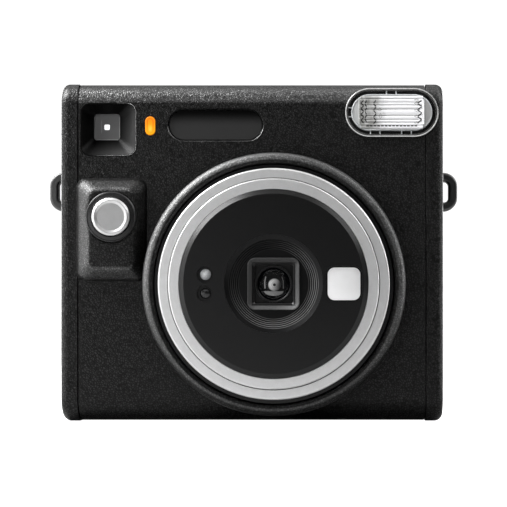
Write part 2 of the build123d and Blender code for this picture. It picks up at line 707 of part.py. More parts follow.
def helical_slot():
    """One slot cutter whose centre line is the path of a mode-ring pin."""
    pitch = EXTEND * 360.0 / TWIST_DEG
    total_deg = TWIST_DEG + 2 * OVERRUN_DEG
    height = pitch * total_deg / 360.0
    path = Helix(pitch=pitch, height=height, radius=(GUIDE_IN_R + GUIDE_OUT_R) / 2)
    frame = Plane(origin=path @ 0, x_dir=(1, 0, 0), z_dir=path % 0)
    cutter = sweep(frame * Rectangle(4.0, 2 * PIN_R + 0.3), path=path, is_frenet=True)
    start_y = PIN_Y + pitch * OVERRUN_DEG / 360.0
    return guide_frame(start_y) * Rot(0, 0, -OVERRUN_DEG) * cutter


def pin_turn(k):
    """Angle of the k-th guide pin about the lens axis."""
    return Rot(0, 0, PIN_START_DEG + 360.0 * k / PIN_COUNT)


def make_barrel_guide():
    """Fixed tube whose helical slots turn the mode ring as the barrel slides."""
    tube = prism(lens_disc(GUIDE_OUT_R) - lens_disc(GUIDE_IN_R), GUIDE_FRONT_Y, -GAP)
    slot = helical_slot()
    for k in range(PIN_COUNT):
        tube -= guide_frame(0) * pin_turn(k) * guide_frame(0).location.inverse() * slot
    return tube


def make_mode_ring():
    """Silver outer ring with a skirt inside the guide tube and three pins."""
    step_y = GUIDE_FRONT_Y - 0.2
    in_r = TRIM_R + 0.3
    points = [(in_r, RING_FACE_Y), (RING_R, RING_FACE_Y), (RING_R, step_y),
              (SKIRT_OUT_R, step_y), (SKIRT_OUT_R, SKIRT_END_Y), (SKIRT_IN_R, SKIRT_END_Y),
              (SKIRT_IN_R, RING_BACK_Y), (in_r, RING_BACK_Y)]
    ring = turned(points, LENS_X, LENS_Z, {1: 0.7})
    pin = Pos(SKIRT_OUT_R + 0.6, 0, 0) * Rot(0, 90, 0) * Cylinder(PIN_R, 1.4)
    for k in range(PIN_COUNT):
        ring += guide_frame(PIN_Y) * pin_turn(k) * pin
    return ring


def make_trim_ring():
    in_r = FACE_R + GAP
    points = [(in_r, TRIM_FACE_Y), (TRIM_R, TRIM_FACE_Y), (TRIM_R, FACE_BACK_Y), (in_r, FACE_BACK_Y)]
    return turned(points, LENS_X, LENS_Z, {0: 0.2, 1: 0.5})


def make_lens_barrel():
    """Inner barrel: a front shelf that carries the lens parts and a rear flange that runs on the rods."""
    shelf_r = 28.0
    flange_r = 31.5
    step_y = BARREL_FRONT_Y + 1.0
    shelf_y = BARREL_FRONT_Y + 1.2
    flange_y = BARREL_END_Y - 1.5
    points = [(shelf_r, BARREL_FRONT_Y), (BARREL_IN_R, BARREL_FRONT_Y), (BARREL_IN_R, step_y),
              (BARREL_OUT_R, step_y), (BARREL_OUT_R, BARREL_END_Y), (flange_r, BARREL_END_Y),
              (flange_r, flange_y), (BARREL_IN_R, flange_y), (BARREL_IN_R, shelf_y), (shelf_r, shelf_y)]
    barrel = turned(points, LENS_X, LENS_Z)
    for dx in (-ROD_DX, ROD_DX):
        barrel -= prism(disc(LENS_X + dx, LENS_Z, ROD_R + 0.08), BARREL_END_Y - 3, BARREL_END_Y + 2)
    return barrel


def sensor_spot(sign):
    """Centre of the upper (+1) or lower (-1) exposure sensor."""
    return LENS_X + SENSOR_DX, LENS_Z + sign * SENSOR_DZ


def make_barrel_face():
    """Black front disc with the sensor dishes and the mirror's recess."""
    bevel_w, bevel_d = FACE_BEVEL
    points = [(RECESS_R, FACE_Y), (FACE_R - bevel_w, FACE_Y), (FACE_R, FACE_Y + bevel_d),
              (FACE_R, FACE_BACK_Y), (RECESS_R, FACE_BACK_Y)]
    face = turned(points, LENS_X, LENS_Z)
    for sign in (1, -1):
        face -= prism(disc(*sensor_spot(sign), SENSOR_DISH_R), FACE_Y - 1, FACE_Y + 1.2)
        face -= prism(disc(*sensor_spot(sign), SENSOR_R + GAP), FACE_Y - 1, FACE_BACK_Y + 1)
    recess = rect(LENS_X + MIRROR_DX, LENS_Z, MIRROR_SIDE + 1.2, MIRROR_SIDE + 0.9, 2.8)
    return face - prism(recess, FACE_Y - 1, FACE_Y + 1.4)


def make_baffle_ring():
    """Concave ring: a sloping shoulder, fine steps, and a floor around the square hood."""
    out_r = RECESS_R - GAP
    floor_in_r = 5.0
    back_y = -33.0
    step_r = (RIB_OUT_R - RIB_IN_R) / RIB_COUNT
    step_y = (RIB_FLOOR_Y - RIB_TOP_Y) / RIB_COUNT
    points = [(out_r, FACE_Y + 0.12), (RIB_OUT_R + 0.2, RIB_TOP_Y)]
    for k in range(RIB_COUNT):
        points.append((RIB_OUT_R - k * step_r, RIB_TOP_Y + k * step_y))
        points.append((RIB_OUT_R - (k + 0.35) * step_r, RIB_TOP_Y + (k + 1.05) * step_y))
    points += [(RIB_IN_R, RIB_FLOOR_Y), (floor_in_r, RIB_FLOOR_Y), (floor_in_r, back_y), (out_r, back_y)]
    ring = turned(points, LENS_X, LENS_Z)
    socket = HOOD_TENON + 2 * GAP
    return ring - prism(rect(LENS_X, LENS_Z, socket, socket, 2.15), RIB_TOP_Y, back_y + 1)


def make_lens_hood():
    """Square stepped hood with a tenon that plugs into the baffle ring."""
    step_y = HOOD_FRONT_Y + 0.7
    floor_y = HOOD_FRONT_Y + 1.3
    band_in = HOOD_SIDE - 2.9
    step_out = HOOD_SIDE - 3.2
    mouth = (HOOD_MOUTH, HOOD_MOUTH, 0.8)
    hood = prism(rect(LENS_X, LENS_Z, HOOD_SIDE, HOOD_SIDE, 2.6), HOOD_FRONT_Y, RIB_FLOOR_Y - GAP)
    hood += prism(rect(LENS_X, LENS_Z, HOOD_TENON, HOOD_TENON, 2.1), RIB_FLOOR_Y - 0.1, -33.0)
    rim = (HOOD_SIDE - 0.5, HOOD_SIDE - 0.5, 2.4)
    hood -= funnel(LENS_X, LENS_Z, rim, (band_in, band_in, 1.2), HOOD_FRONT_Y - 0.01, step_y)
    hood -= funnel(LENS_X, LENS_Z, (step_out, step_out, 1.1), mouth, step_y - 0.01, floor_y)
    return hood - prism(rect(LENS_X, LENS_Z, *mouth), floor_y - 0.1, -32)


def make_lens_cell():
    """Round cell that holds the front lens, open at its centre towards the shutter."""
    seat_r = GLASS_R + GAP
    floor_y = CELL_BACK_Y - 0.6
    points = [(LENS_CELL_R, CELL_FRONT_Y), (LENS_CELL_R, CELL_BACK_Y), (APERTURE_R, CELL_BACK_Y),
              (APERTURE_R, floor_y), (seat_r, floor_y), (seat_r, CELL_FRONT_Y + 0.4),
              (LENS_CELL_R - 0.3, CELL_FRONT_Y)]
    return turned(points, LENS_X, LENS_Z)


def make_front_lens():
    dome_r = 14.0
    tip_y = CELL_FRONT_Y + 0.1
    blank = prism(lens_disc(GLASS_R), tip_y, CELL_BACK_Y - 0.7)
    return blank & ball(LENS_X, tip_y + dome_r, LENS_Z, dome_r)


def make_rear_lens():
    dome_r = 14.0
    return prism(lens_disc(4.9), -27.4, -25.5) & ball(LENS_X, -25.6 - dome_r, LENS_Z, dome_r)


def make_shutter_housing():
    """Front half of the shutter, with the blades' pivots."""
    body = prism(lens_disc(SHUTTER_R), SHUTTER_FRONT_Y, SHUTTER_SPLIT_Y)
    body -= prism(lens_disc(LENS_CELL_R + 0.1), -33, CELL_BACK_Y + GAP)
    body -= prism(lens_disc(APERTURE_R - 0.1), CELL_BACK_Y, -29)
    body -= prism(lens_disc(12.5), -29.6, -27)
    for dx in (-BLADE_PIVOT_DX, BLADE_PIVOT_DX):
        body += prism(disc(LENS_X + dx, LENS_Z, 0.7), -29.7, SHUTTER_SPLIT_Y)
    return body


def make_shutter_cover():
    """Rear half of the shutter, with the seat of the rear lens."""
    body = prism(lens_disc(SHUTTER_R), SHUTTER_SPLIT_Y + GAP, -25.3)
    body -= prism(lens_disc(3.0), -29, -25)
    return body - prism(lens_disc(4.95), -27.45, -25)


def shutter_blade(side, y_front):
    """Thin pear-shaped blade; side is -1 for the left pivot and +1 for the right pivot."""
    pivot_x = LENS_X + side * BLADE_PIVOT_DX
    tip_x = LENS_X - side * 0.6
    shape = make_hull((disc(pivot_x, LENS_Z, 1.9) + disc(tip_x, LENS_Z, 3.6)).edges())
    blade = prism(shape, y_front, y_front + BLADE_T)
    return blade - prism(disc(pivot_x, LENS_Z, 0.76), y_front - 1, y_front + 1)


def sensor_window(sign):
    """Domed window of the upper (+1) or lower (-1) exposure sensor."""
    x, z = sensor_spot(sign)
    dome_r = 3.2
    body = prism(disc(x, z, SENSOR_R), FACE_Y + 0.5, FACE_BACK_Y)
    return body & ball(x, FACE_Y + 0.55 + dome_r, z, dome_r)


def make_selfie_mirror():
    """Slightly convex square mirror in its recess."""
    dome_r = 60.0
    x = LENS_X + MIRROR_DX
    plate = prism(rect(x, LENS_Z, MIRROR_SIDE, MIRROR_SIDE, 2.4), FACE_Y + 0.1, FACE_Y + 1.38)
    return plate & ball(x, FACE_Y + 0.2 + dome_r, LENS_Z, dome_r)


# ---------------------------------------------------------------- film path
def make_film_chamber():
    half_w = PACK_W / 2 + CHAMBER_WALL
    half_h = PACK_H / 2 + CHAMBER_WALL
    outer = rect(CHAMBER_X, CHAMBER_Z, 2 * half_w, 2 * half_h)
    body = prism(outer, 0, CHAMBER_REAR_Y)
    body -= prism(rect(CHAMBER_X, CHAMBER_Z, PACK_W, PACK_H), CHAMBER_WALL, CHAMBER_REAR_Y + 1)
    body -= prism(rect(LENS_X, LENS_Z, WINDOW, WINDOW, 2), -1, 2)
    body -= exit_slot(CHAMBER_Z + PACK_H / 2 - 1, CHAMBER_Z + half_h + 1)
    for dx in (-ROD_DX, ROD_DX):
        body += prism(disc(LENS_X + dx, LENS_Z, ROD_R), -29.0, 0.1)
    return body


def make_roller_frame():
    """Bracket with a bearing plate at each end of the rollers and a tie bar in front."""
    x_left = ROLLER_X0 - 0.3
    x_right = ROLLER_X1 + 0.3
    plate = rect(3.4, 108.9, 19.4, 10.8, 1.0)
    bearing_r = SHAFT_R + GAP
    holes = disc(FRONT_ROLLER_Y, ROLLER_Z, bearing_r) + disc(REAR_ROLLER_Y, ROLLER_Z, bearing_r)
    frame = bar(plate - holes, x_left - FRAME_T, x_left)
    frame += bar(plate - holes, x_right, x_right + FRAME_T)
    tie = rect(-5.45, 109.25, 1.7, 9.5)
    return frame + bar(tie, x_left - FRAME_T, x_right + FRAME_T)


def involute(base_r, angle):
    """Point of an involute of the base circle unrolled by angle."""
    x = base_r * (math.cos(angle) + angle * math.sin(angle))
    y = base_r * (math.sin(angle) - angle * math.cos(angle))
    return x, y


def gear_sketch(teeth, phase_deg, bore_r):
    """Spur gear outline with involute flanks; phase_deg turns a tooth centre from +Y towards +Z."""
    pressure = math.radians(20)
    pitch_r = MODULE * teeth / 2
    base_r = pitch_r * math.cos(pressure)
    tip_r = pitch_r + 0.9 * MODULE
    root_r = pitch_r - 1.15 * MODULE
    backlash = 0.06
    half_tooth = math.pi / (2 * teeth) - backlash / (2 * pitch_r)
    pitch_roll = math.tan(pressure)
    polar_at_pitch = pitch_roll - pressure
    start_roll = 0.0 if root_r < base_r else math.sqrt((root_r / base_r) ** 2 - 1)
    end_roll = math.sqrt((tip_r / base_r) ** 2 - 1)
    flank = []
    samples = 5
    for k in range(samples):
        roll = start_roll + (end_roll - start_roll) * k / (samples - 1)
        x, y = involute(base_r, roll)
        flank.append((math.hypot(x, y), half_tooth + polar_at_pitch - math.atan2(y, x)))
    half_outline = [(root_r, flank[0][1])] + flank if root_r < base_r else flank
    points = []
    for t in range(teeth):
        centre = math.radians(phase_deg) + 2 * math.pi * t / teeth
        for radius, half in half_outline:
            points.append((radius * math.cos(centre - half), radius * math.sin(centre - half)))
        for radius, half in reversed(half_outline):
            points.append((radius * math.cos(centre + half), radius * math.sin(centre + half)))
    return make_face(Polyline(*points, close=True)) - Circle(bore_r)


def gear(teeth, y, z, x0, phase_deg, bore_r, thickness=GEAR_T):
    return bar(Pos(y, z) * gear_sketch(teeth, phase_deg, bore_r), x0, x0 + thickness)


def centre_distance(teeth_a, teeth_b):
    return MODULE * (teeth_a + teeth_b) / 2


def gear_centres():
    """Centres (Y, Z) of the idler, the reduction gear and the motor pinion."""
    reach = centre_distance(ROLLER_TEETH, IDLER_TEETH)
    idler = (IDLER_Y, ROLLER_Z - math.sqrt(reach ** 2 - (IDLER_Y - FRONT_ROLLER_Y) ** 2))
    reach = centre_distance(SMALL_TEETH, IDLER_TEETH)
    reduction = (idler[0] + REDUCTION_DY, idler[1] - math.sqrt(reach ** 2 - REDUCTION_DY ** 2))
    reach = centre_distance(PINION_TEETH, BIG_TEETH)
    pinion = (reduction[0] + PINION_DY, reduction[1] - math.sqrt(reach ** 2 - PINION_DY ** 2))
    return idler, reduction, pinion


def bearing_deg(a, b):
    """Direction from centre a to centre b in degrees, from +Y towards +Z."""
    return math.degrees(math.atan2(b[1] - a[1], b[0] - a[0]))


def meshing_phase(driver, driver_teeth, driver_phase, driven, driven_teeth):
    """Phase of a gear whose tooth space faces the driver's tooth on their centre line."""
    towards = bearing_deg(driver, driven)
    pitch_a = 360.0 / driver_teeth
    offset = ((towards - driver_phase) / pitch_a) % 1.0
    back = towards + 180.0
    return back + (offset + 0.5) * 360.0 / driven_teeth


FRONT_ROLLER = (FRONT_ROLLER_Y, ROLLER_Z)
REAR_ROLLER = (REAR_ROLLER_Y, ROLLER_Z)
IDLER, REDUCTION, PINION = gear_centres()
FRONT_PHASE = 0.0
REAR_PHASE = meshing_phase(FRONT_ROLLER, ROLLER_TEETH, FRONT_PHASE, REAR_ROLLER, ROLLER_TEETH)
IDLER_PHASE = meshing_phase(FRONT_ROLLER, ROLLER_TEETH, FRONT_PHASE, IDLER, IDLER_TEETH)
SMALL_PHASE = meshing_phase(IDLER, IDLER_TEETH, IDLER_PHASE, REDUCTION, SMALL_TEETH)
BIG_PHASE = 0.0
PINION_PHASE = meshing_phase(REDUCTION, BIG_TEETH, BIG_PHASE, PINION, PINION_TEETH)


def roller(centre, phase_deg):
    """Ejection roller on its shaft, with the drive gear fixed at its left end."""
    body = bar(disc(*centre, ROLLER_R), ROLLER_X0, ROLLER_X1)
    body += bar(disc(*centre, SHAFT_R), GEAR_X - 0.3, ROLLER_X1 + 1.8)
    return body + gear(ROLLER_TEETH, *centre, GEAR_X, phase_deg, SHAFT_R - 0.1)


def make_reduction_gear():
    bore_r = AXLE_R + GAP
    small = gear(SMALL_TEETH, *REDUCTION, GEAR_X, SMALL_PHASE, bore_r)
    big = gear(BIG_TEETH, *REDUCTION, OUTER_GEAR_X, BIG_PHASE, bore_r)
    hub = disc(*REDUCTION, 2.1) - disc(*REDUCTION, bore_r)
    return small + big + bar(hub, OUTER_GEAR_X + GEAR_T - 0.1, GEAR_X + 0.1)


def make_gear_plate():
    """Plate that carries the motor and the fixed axles of the idler and the reduction gear."""
    plate_x = OUTER_GEAR_X - 0.4
    plate = make_hull((disc(*IDLER, 4) + disc(*REDUCTION, 6) + disc(*PINION, 8.5)).edges())
    body = bar(plate - disc(*PINION, MOTOR_NOSE_R + 0.1), plate_x - FRAME_T, plate_x)
    axle_end = GEAR_X + GEAR_T + 0.3
    body += bar(disc(*IDLER, AXLE_R), plate_x - 0.1, axle_end)
    return body + bar(disc(*REDUCTION, AXLE_R), plate_x - 0.1, axle_end)


def make_drive_motor():
    """Motor can with a nose in the gear plate and a bearing boss at its far end."""
    boss_x = MOTOR_FACE_X - MOTOR_LEN
    can = bar(disc(*PINION, MOTOR_R), boss_x, MOTOR_FACE_X)
    can += bar(disc(*PINION, MOTOR_NOSE_R), MOTOR_FACE_X - 0.1, MOTOR_FACE_X + 1.0)
    return can + bar(disc(*PINION, 1.8), boss_x - 1.2, boss_x + 0.1)


def make_motor_pinion():
    """Pinion on the rotor shaft, which starts at the motor's nose."""
    body = gear(PINION_TEETH, *PINION, OUTER_GEAR_X, PINION_PHASE, 0.6)
    return body + bar(disc(*PINION, 0.75), MOTOR_FACE_X + 1.05, OUTER_GEAR_X + GEAR_T + 0.4)


# ---------------------------------------------------------------- rear door
def make_film_door():
    """Door panel with its hinge knuckle, the ends of the hinge pin and the opening for the film window."""
    width = HINGE_X - DOOR_LEFT_X
    height = DOOR_Z1 - DOOR_Z0
    mid_z = (DOOR_Z0 + DOOR_Z1) / 2
    panel = prism(rect(HINGE_X - width / 2, mid_z, width, height), HINGE_Y, HINGE_Y + DOOR_T)
    outer_edges = [e for e in panel.edges() if e.center().Y > HINGE_Y + DOOR_T - 0.1]
    free_edges = [e for e in outer_edges if e.center().X < HINGE_X - 1]
    door = fillet(free_edges, 0.7) + Pos(HINGE_X, HINGE_Y, mid_z) * Cylinder(DOOR_T, height)
    ledge = 0.8
    opening = rect(CHAMBER_X, DOOR_WINDOW_Z, DOOR_WINDOW_W - 2 * ledge, DOOR_WINDOW_H - 2 * ledge, 2.0)
    door -= prism(opening, HINGE_Y - 1, HINGE_Y + 3)
    door -= prism(door_window(0.0), HINGE_Y + 1.0, HINGE_Y + 3)
    return door + Pos(HINGE_X, HINGE_Y, mid_z) * Cylinder(HINGE_PIN_R, height + 3.6)


def door_window(shrink):
    """Outline of the film window's seat in the door, pulled in by shrink."""
    return rect(CHAMBER_X, DOOR_WINDOW_Z, DOOR_WINDOW_W - shrink, DOOR_WINDOW_H - shrink, 2.55)


def make_film_door_window():
    return prism(door_window(2 * GAP), HINGE_Y + 1.05, HINGE_Y + 1.75)


def make_pack_springs():
    """Two leaf springs on the inside of the door that press the film pack forward."""
    mid_z = 55.0
    leaves = []
    for dx in (-26.0, 26.0):
        x = CHAMBER_X + dx
        leaf = prism(rect(x, mid_z, 10.0, 58.0), HINGE_Y - 0.35, HINGE_Y - GAP)
        leaf += prism(rect(x, mid_z, 6.0, 22.0), HINGE_Y - 0.75, HINGE_Y - 0.3)
        leaves.append(leaf.solid())
    return Compound(children=leaves)


def make_door_latch():
    """Sliding catch: ribbed thumb tab outside, stem through the rear cover, plate inside."""
    tab_y = REAR_Y + 1.5
    tab = prism(rect(LATCH_X, LATCH_Z, LATCH_W, LATCH_H, 1.4), REAR_Y + GAP, tab_y)
    tab = fillet(tab.faces().sort_by(Axis.Y)[-1].edges(), 0.4)
    rib_pitch = 2.0
    for k in range(4):
        z = LATCH_Z + (k - 1.5) * rib_pitch
        tab += prism(rect(LATCH_X, z, LATCH_W - 2.8, 0.7), tab_y - 0.1, tab_y + 0.25)
    stem = prism(rect(LATCH_X, LATCH_Z + 0.2, LATCH_STEM_W, LATCH_STEM_H), REAR_Y - 2.3, REAR_Y + 0.1)
    plate = prism(rect(LATCH_X + 0.8, LATCH_Z, LATCH_W + 1.6, LATCH_H), REAR_Y - 3.1, REAR_Y - 2.1)
    return tab + stem + plate


def make_counter_dial():
    """Exposure-counter dial with one raised mark per sheet."""
    face_y = 18.4
    ring = disc(COUNTER_X, COUNTER_Z, COUNTER_R) - disc(COUNTER_X, COUNTER_Z, COUNTER_PIN_R + 0.06)
    dial = prism(ring, face_y - 1.2, face_y)
    mark = prism(rect(COUNTER_R - 2.2, 0, 1.8, 0.7), face_y - 0.05, face_y + 0.2)
    for k in range(COUNTER_SHEETS):
        dial += Pos(COUNTER_X, 0, COUNTER_Z) * Rot(0, 360.0 / COUNTER_SHEETS * k, 0) * mark
    return dial


def make_counter_window():
    return prism(counter_opening(2 * GAP), REAR_Y - 1.0, REAR_Y - 0.1)


# ---------------------------------------------------------------- power and electronics
def make_battery_holder():
    """Block with two round bays, open towards the battery door."""
    bay_end = HOLDER_X1 - 1.4
    body = box(HOLDER_X0, HOLDER_X1, -HOLDER_HALF, HOLDER_HALF, HOLDER_Z0, HOLDER_Z1)
    for z in BATTERY_ZS:
        body -= bar(disc(0, z, BATTERY_R + 0.2), HOLDER_X0 - 1, bay_end)
    low, high = BATTERY_ZS
    return body - box(HOLDER_X0 - 1, bay_end, -3.0, 3.0, low, high)


def make_batteries():
    cells = []
    for z in BATTERY_ZS:
        cell = bar(disc(0, z, BATTERY_R), BATTERY_X, BATTERY_X + BATTERY_LEN - 1.0)
        cell = fillet(cell.edges().filter_by(GeomType.CIRCLE), 0.5)
        cell += bar(disc(0, z, 3.0), BATTERY_X + BATTERY_LEN - 1.2, BATTERY_X + BATTERY_LEN)
        cells.append(cell.solid())
    return Compound(children=cells)


def make_battery_door():
    x_out = -BODY_W / 2
    x_in = x_out + BATTERY_DOOR_T
    half = BATTERY_DOOR_HALF
    panel = box(x_out, x_in, -half, half, BATTERY_HINGE_Z, BATTERY_DOOR_TOP)
    top_edges = [e for e in panel.edges().filter_by(Axis.X) if e.center().Z > BATTERY_DOOR_TOP - 1]
    hinge = Pos(x_in, 0, BATTERY_HINGE_Z) * Rot(90, 0, 0)
    door = fillet(top_edges, 1.3) + hinge * Cylinder(BATTERY_DOOR_T, 2 * half)
    rib_pitch = 1.6
    for k in range(3):
        rib_z = BATTERY_DOOR_TOP - 6.9 + rib_pitch * k
        door += box(x_out - 0.25, x_out + 0.1, -4.0, 4.0, rib_z, rib_z + 0.7)
    return door + hinge * Cylinder(BATTERY_PIVOT_R, 2 * half + 3.2)


def make_battery_springs():
    """Contact plate and two coil contacts on the inside of the battery door."""
    x_in = -BODY_W / 2 + BATTERY_DOOR_T
    plate = box(x_in + 0.05, x_in + 0.45, -4.0, 4.0, 15.0, 42.5)
    coils = 3
    step_r = 0.6
    for z in BATTERY_ZS:
        for k in range(coils):
            outer_r = 3.2 - step_r * k
            turn = disc(0, z, outer_r) - disc(0, z, outer_r - 0.8)
            plate += bar(turn, x_in + 0.4, x_in + 0.9 + 0.5 * k)
    return plate


def make_circuit_board():
    """Main board with its soldered parts and the shutter switch under the button."""
    front_y = BOARD_FRONT_Y
    board = box(-59.0, -38.8, front_y, BOARD_BACK_Y, 8.0, 80.0)
    for z in (11.0, 77.0):
        board -= prism(disc(-56.0, z, 1.1), front_y - 1, BOARD_BACK_Y + 1)
    sizes = [(-49, 20, 9, 9, 1.2), (-53, 34, 6, 4, 1.0), (-44, 34, 5, 7, 1.4), (-50, 46, 12, 6, 1.6),
             (-45, 56, 4, 4, 1.0), (-54, 57, 3, 6, 0.9)]
    for x, z, w, h, t in sizes:
        board += prism(rect(x, z, w, h), front_y - t, front_y + 0.1)
    board += prism(rect(BUTTON_X, BUTTON_Z, 6.0, 6.0), front_y - 1.0, front_y + 0.1)
    return board + prism(disc(BUTTON_X, BUTTON_Z, 1.6), front_y - 1.5, front_y - 0.9)


# ---------------------------------------------------------------- write every piece
def main():
    os.makedirs("parts", exist_ok=True)
    save(make_front_cover(), "front_cover")
    save(make_rear_cover(), "rear_cover")
    save(make_left_side_cover(), "left_side_cover")
    save(make_right_side_cover(), "right_side_cover")
    save(make_strap_lugs(), "strap_lugs")
    save(make_case_screws(), "case_screws")
    save(make_finder_bezel(), "finder_bezel")
    save(make_finder_front_lens(), "finder_front_lens")
    save(make_finder_tube(), "finder_tube")
    save(make_finder_eyepiece_lens(), "finder_eyepiece_lens")
    save(make_eyepiece_frame(), "eyepiece_frame")
    save(make_indicator_lamp(), "indicator_lamp")
    save(make_name_plate(), "name_plate")
    save(make_flash_lens(), "flash_lens")
    save(make_flash_housing(), "flash_housing")
    save(make_flash_reflector(), "flash_reflector")
    save(make_flash_tube(), "flash_tube")
    save(make_flash_capacitor(), "flash_capacitor")
    save(make_grip_housing(), "grip_housing")
    save(make_button_bezel(), "button_bezel")
    save(make_shutter_button(), "shutter_button")
    save(make_button_spring(), "button_spring")
    save(make_lens_collar(), "lens_collar")
    save(make_barrel_guide(), "barrel_guide")
    save(make_mode_ring(), "mode_ring")
    save(make_trim_ring(), "trim_ring")
    save(make_lens_barrel(), "lens_barrel")
    save(make_barrel_face(), "barrel_face")
    save(make_baffle_ring(), "baffle_ring")
    save(make_lens_hood(), "lens_hood")
    save(make_lens_cell(), "lens_cell")
    save(make_front_lens(), "front_lens")
    save(make_rear_lens(), "rear_lens")
    save(make_shutter_housing(), "shutter_housing")
    save(make_shutter_cover(), "shutter_cover")
    save(shutter_blade(-1, LEFT_BLADE_Y), "left_shutter_blade")
    save(shutter_blade(1, RIGHT_BLADE_Y), "right_shutter_blade")
    save(sensor_window(1), "exposure_sensor_lens")
    save(sensor_window(-1), "exposure_sensor")
    save(make_selfie_mirror(), "selfie_mirror")
    save(make_film_chamber(), "film_chamber")
    save(make_roller_frame(), "roller_frame")
    save(roller(FRONT_ROLLER, FRONT_PHASE), "front_roller")
    save(roller(REAR_ROLLER, REAR_PHASE), "rear_roller")
    save(gear(IDLER_TEETH, *IDLER, GEAR_X, IDLER_PHASE, AXLE_R + GAP), "idler_gear")
    save(make_reduction_gear(), "reduction_gear")
    save(make_motor_pinion(), "motor_pinion")
    save(make_gear_plate(), "gear_plate")
    save(make_drive_motor(), "drive_motor")
    save(make_film_door(), "film_door")
    save(make_film_door_window(), "film_door_window")
    save(make_pack_springs(), "pack_springs")
    save(make_door_latch(), "door_latch")
    save(make_counter_dial(), "counter_dial")
    save(make_counter_window(), "counter_window")
    save(make_battery_holder(), "battery_holder")
    save(make_batteries(), "batteries")
    save(make_battery_door(), "battery_door")
    save(make_battery_springs(), "battery_springs")
    save(make_circuit_board(), "circuit_board")


main()
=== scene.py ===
import json
import math

import bmesh
import bpy
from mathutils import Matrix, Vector


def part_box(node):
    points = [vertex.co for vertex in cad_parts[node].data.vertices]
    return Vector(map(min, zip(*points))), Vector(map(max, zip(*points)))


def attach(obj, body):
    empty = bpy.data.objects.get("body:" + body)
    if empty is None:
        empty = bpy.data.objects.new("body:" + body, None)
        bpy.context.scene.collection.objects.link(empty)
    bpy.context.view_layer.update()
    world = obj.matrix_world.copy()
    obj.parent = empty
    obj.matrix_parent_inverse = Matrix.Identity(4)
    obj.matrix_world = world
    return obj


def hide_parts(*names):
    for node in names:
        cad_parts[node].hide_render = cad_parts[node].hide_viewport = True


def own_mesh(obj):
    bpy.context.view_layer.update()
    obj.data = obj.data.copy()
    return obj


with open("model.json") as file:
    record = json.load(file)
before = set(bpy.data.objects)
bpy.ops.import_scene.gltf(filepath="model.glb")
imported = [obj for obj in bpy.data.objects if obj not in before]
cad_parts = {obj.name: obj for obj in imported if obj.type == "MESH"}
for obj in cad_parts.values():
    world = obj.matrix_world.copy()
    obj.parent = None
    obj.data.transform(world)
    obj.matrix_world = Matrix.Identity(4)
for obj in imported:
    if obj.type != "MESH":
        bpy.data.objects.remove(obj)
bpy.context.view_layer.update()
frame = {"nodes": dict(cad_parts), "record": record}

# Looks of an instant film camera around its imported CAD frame.
# Lengths are in metres; MM turns millimetres into metres. The lens looks along -Y.
MM = 0.001


def middle(node):
    low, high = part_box(node)
    return (low + high) / 2


# Places and depths taken from the frame.
LENS = middle("trim_ring")
FLASH = middle("flash_lens")
FLASH_LOW, FLASH_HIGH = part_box("flash_lens")
FINDER_PANE = middle("finder_front_lens")
PANE_FRONT_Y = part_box("finder_front_lens")[0].y
GLASS_LOW, GLASS_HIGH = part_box("front_lens")
LAMP = middle("indicator_lamp")
PLATE = middle("name_plate")

PANE_HALF = 4.9 * MM        # where the finder's bezel begins
RIB_PITCH = 0.66 * MM       # of the circular ribs round the lens hood
ELEMENT = LENS + Vector((0.2 * MM, 0, -0.25 * MM))      # axis of the inside element
ELEMENT_R = 2.25 * MM


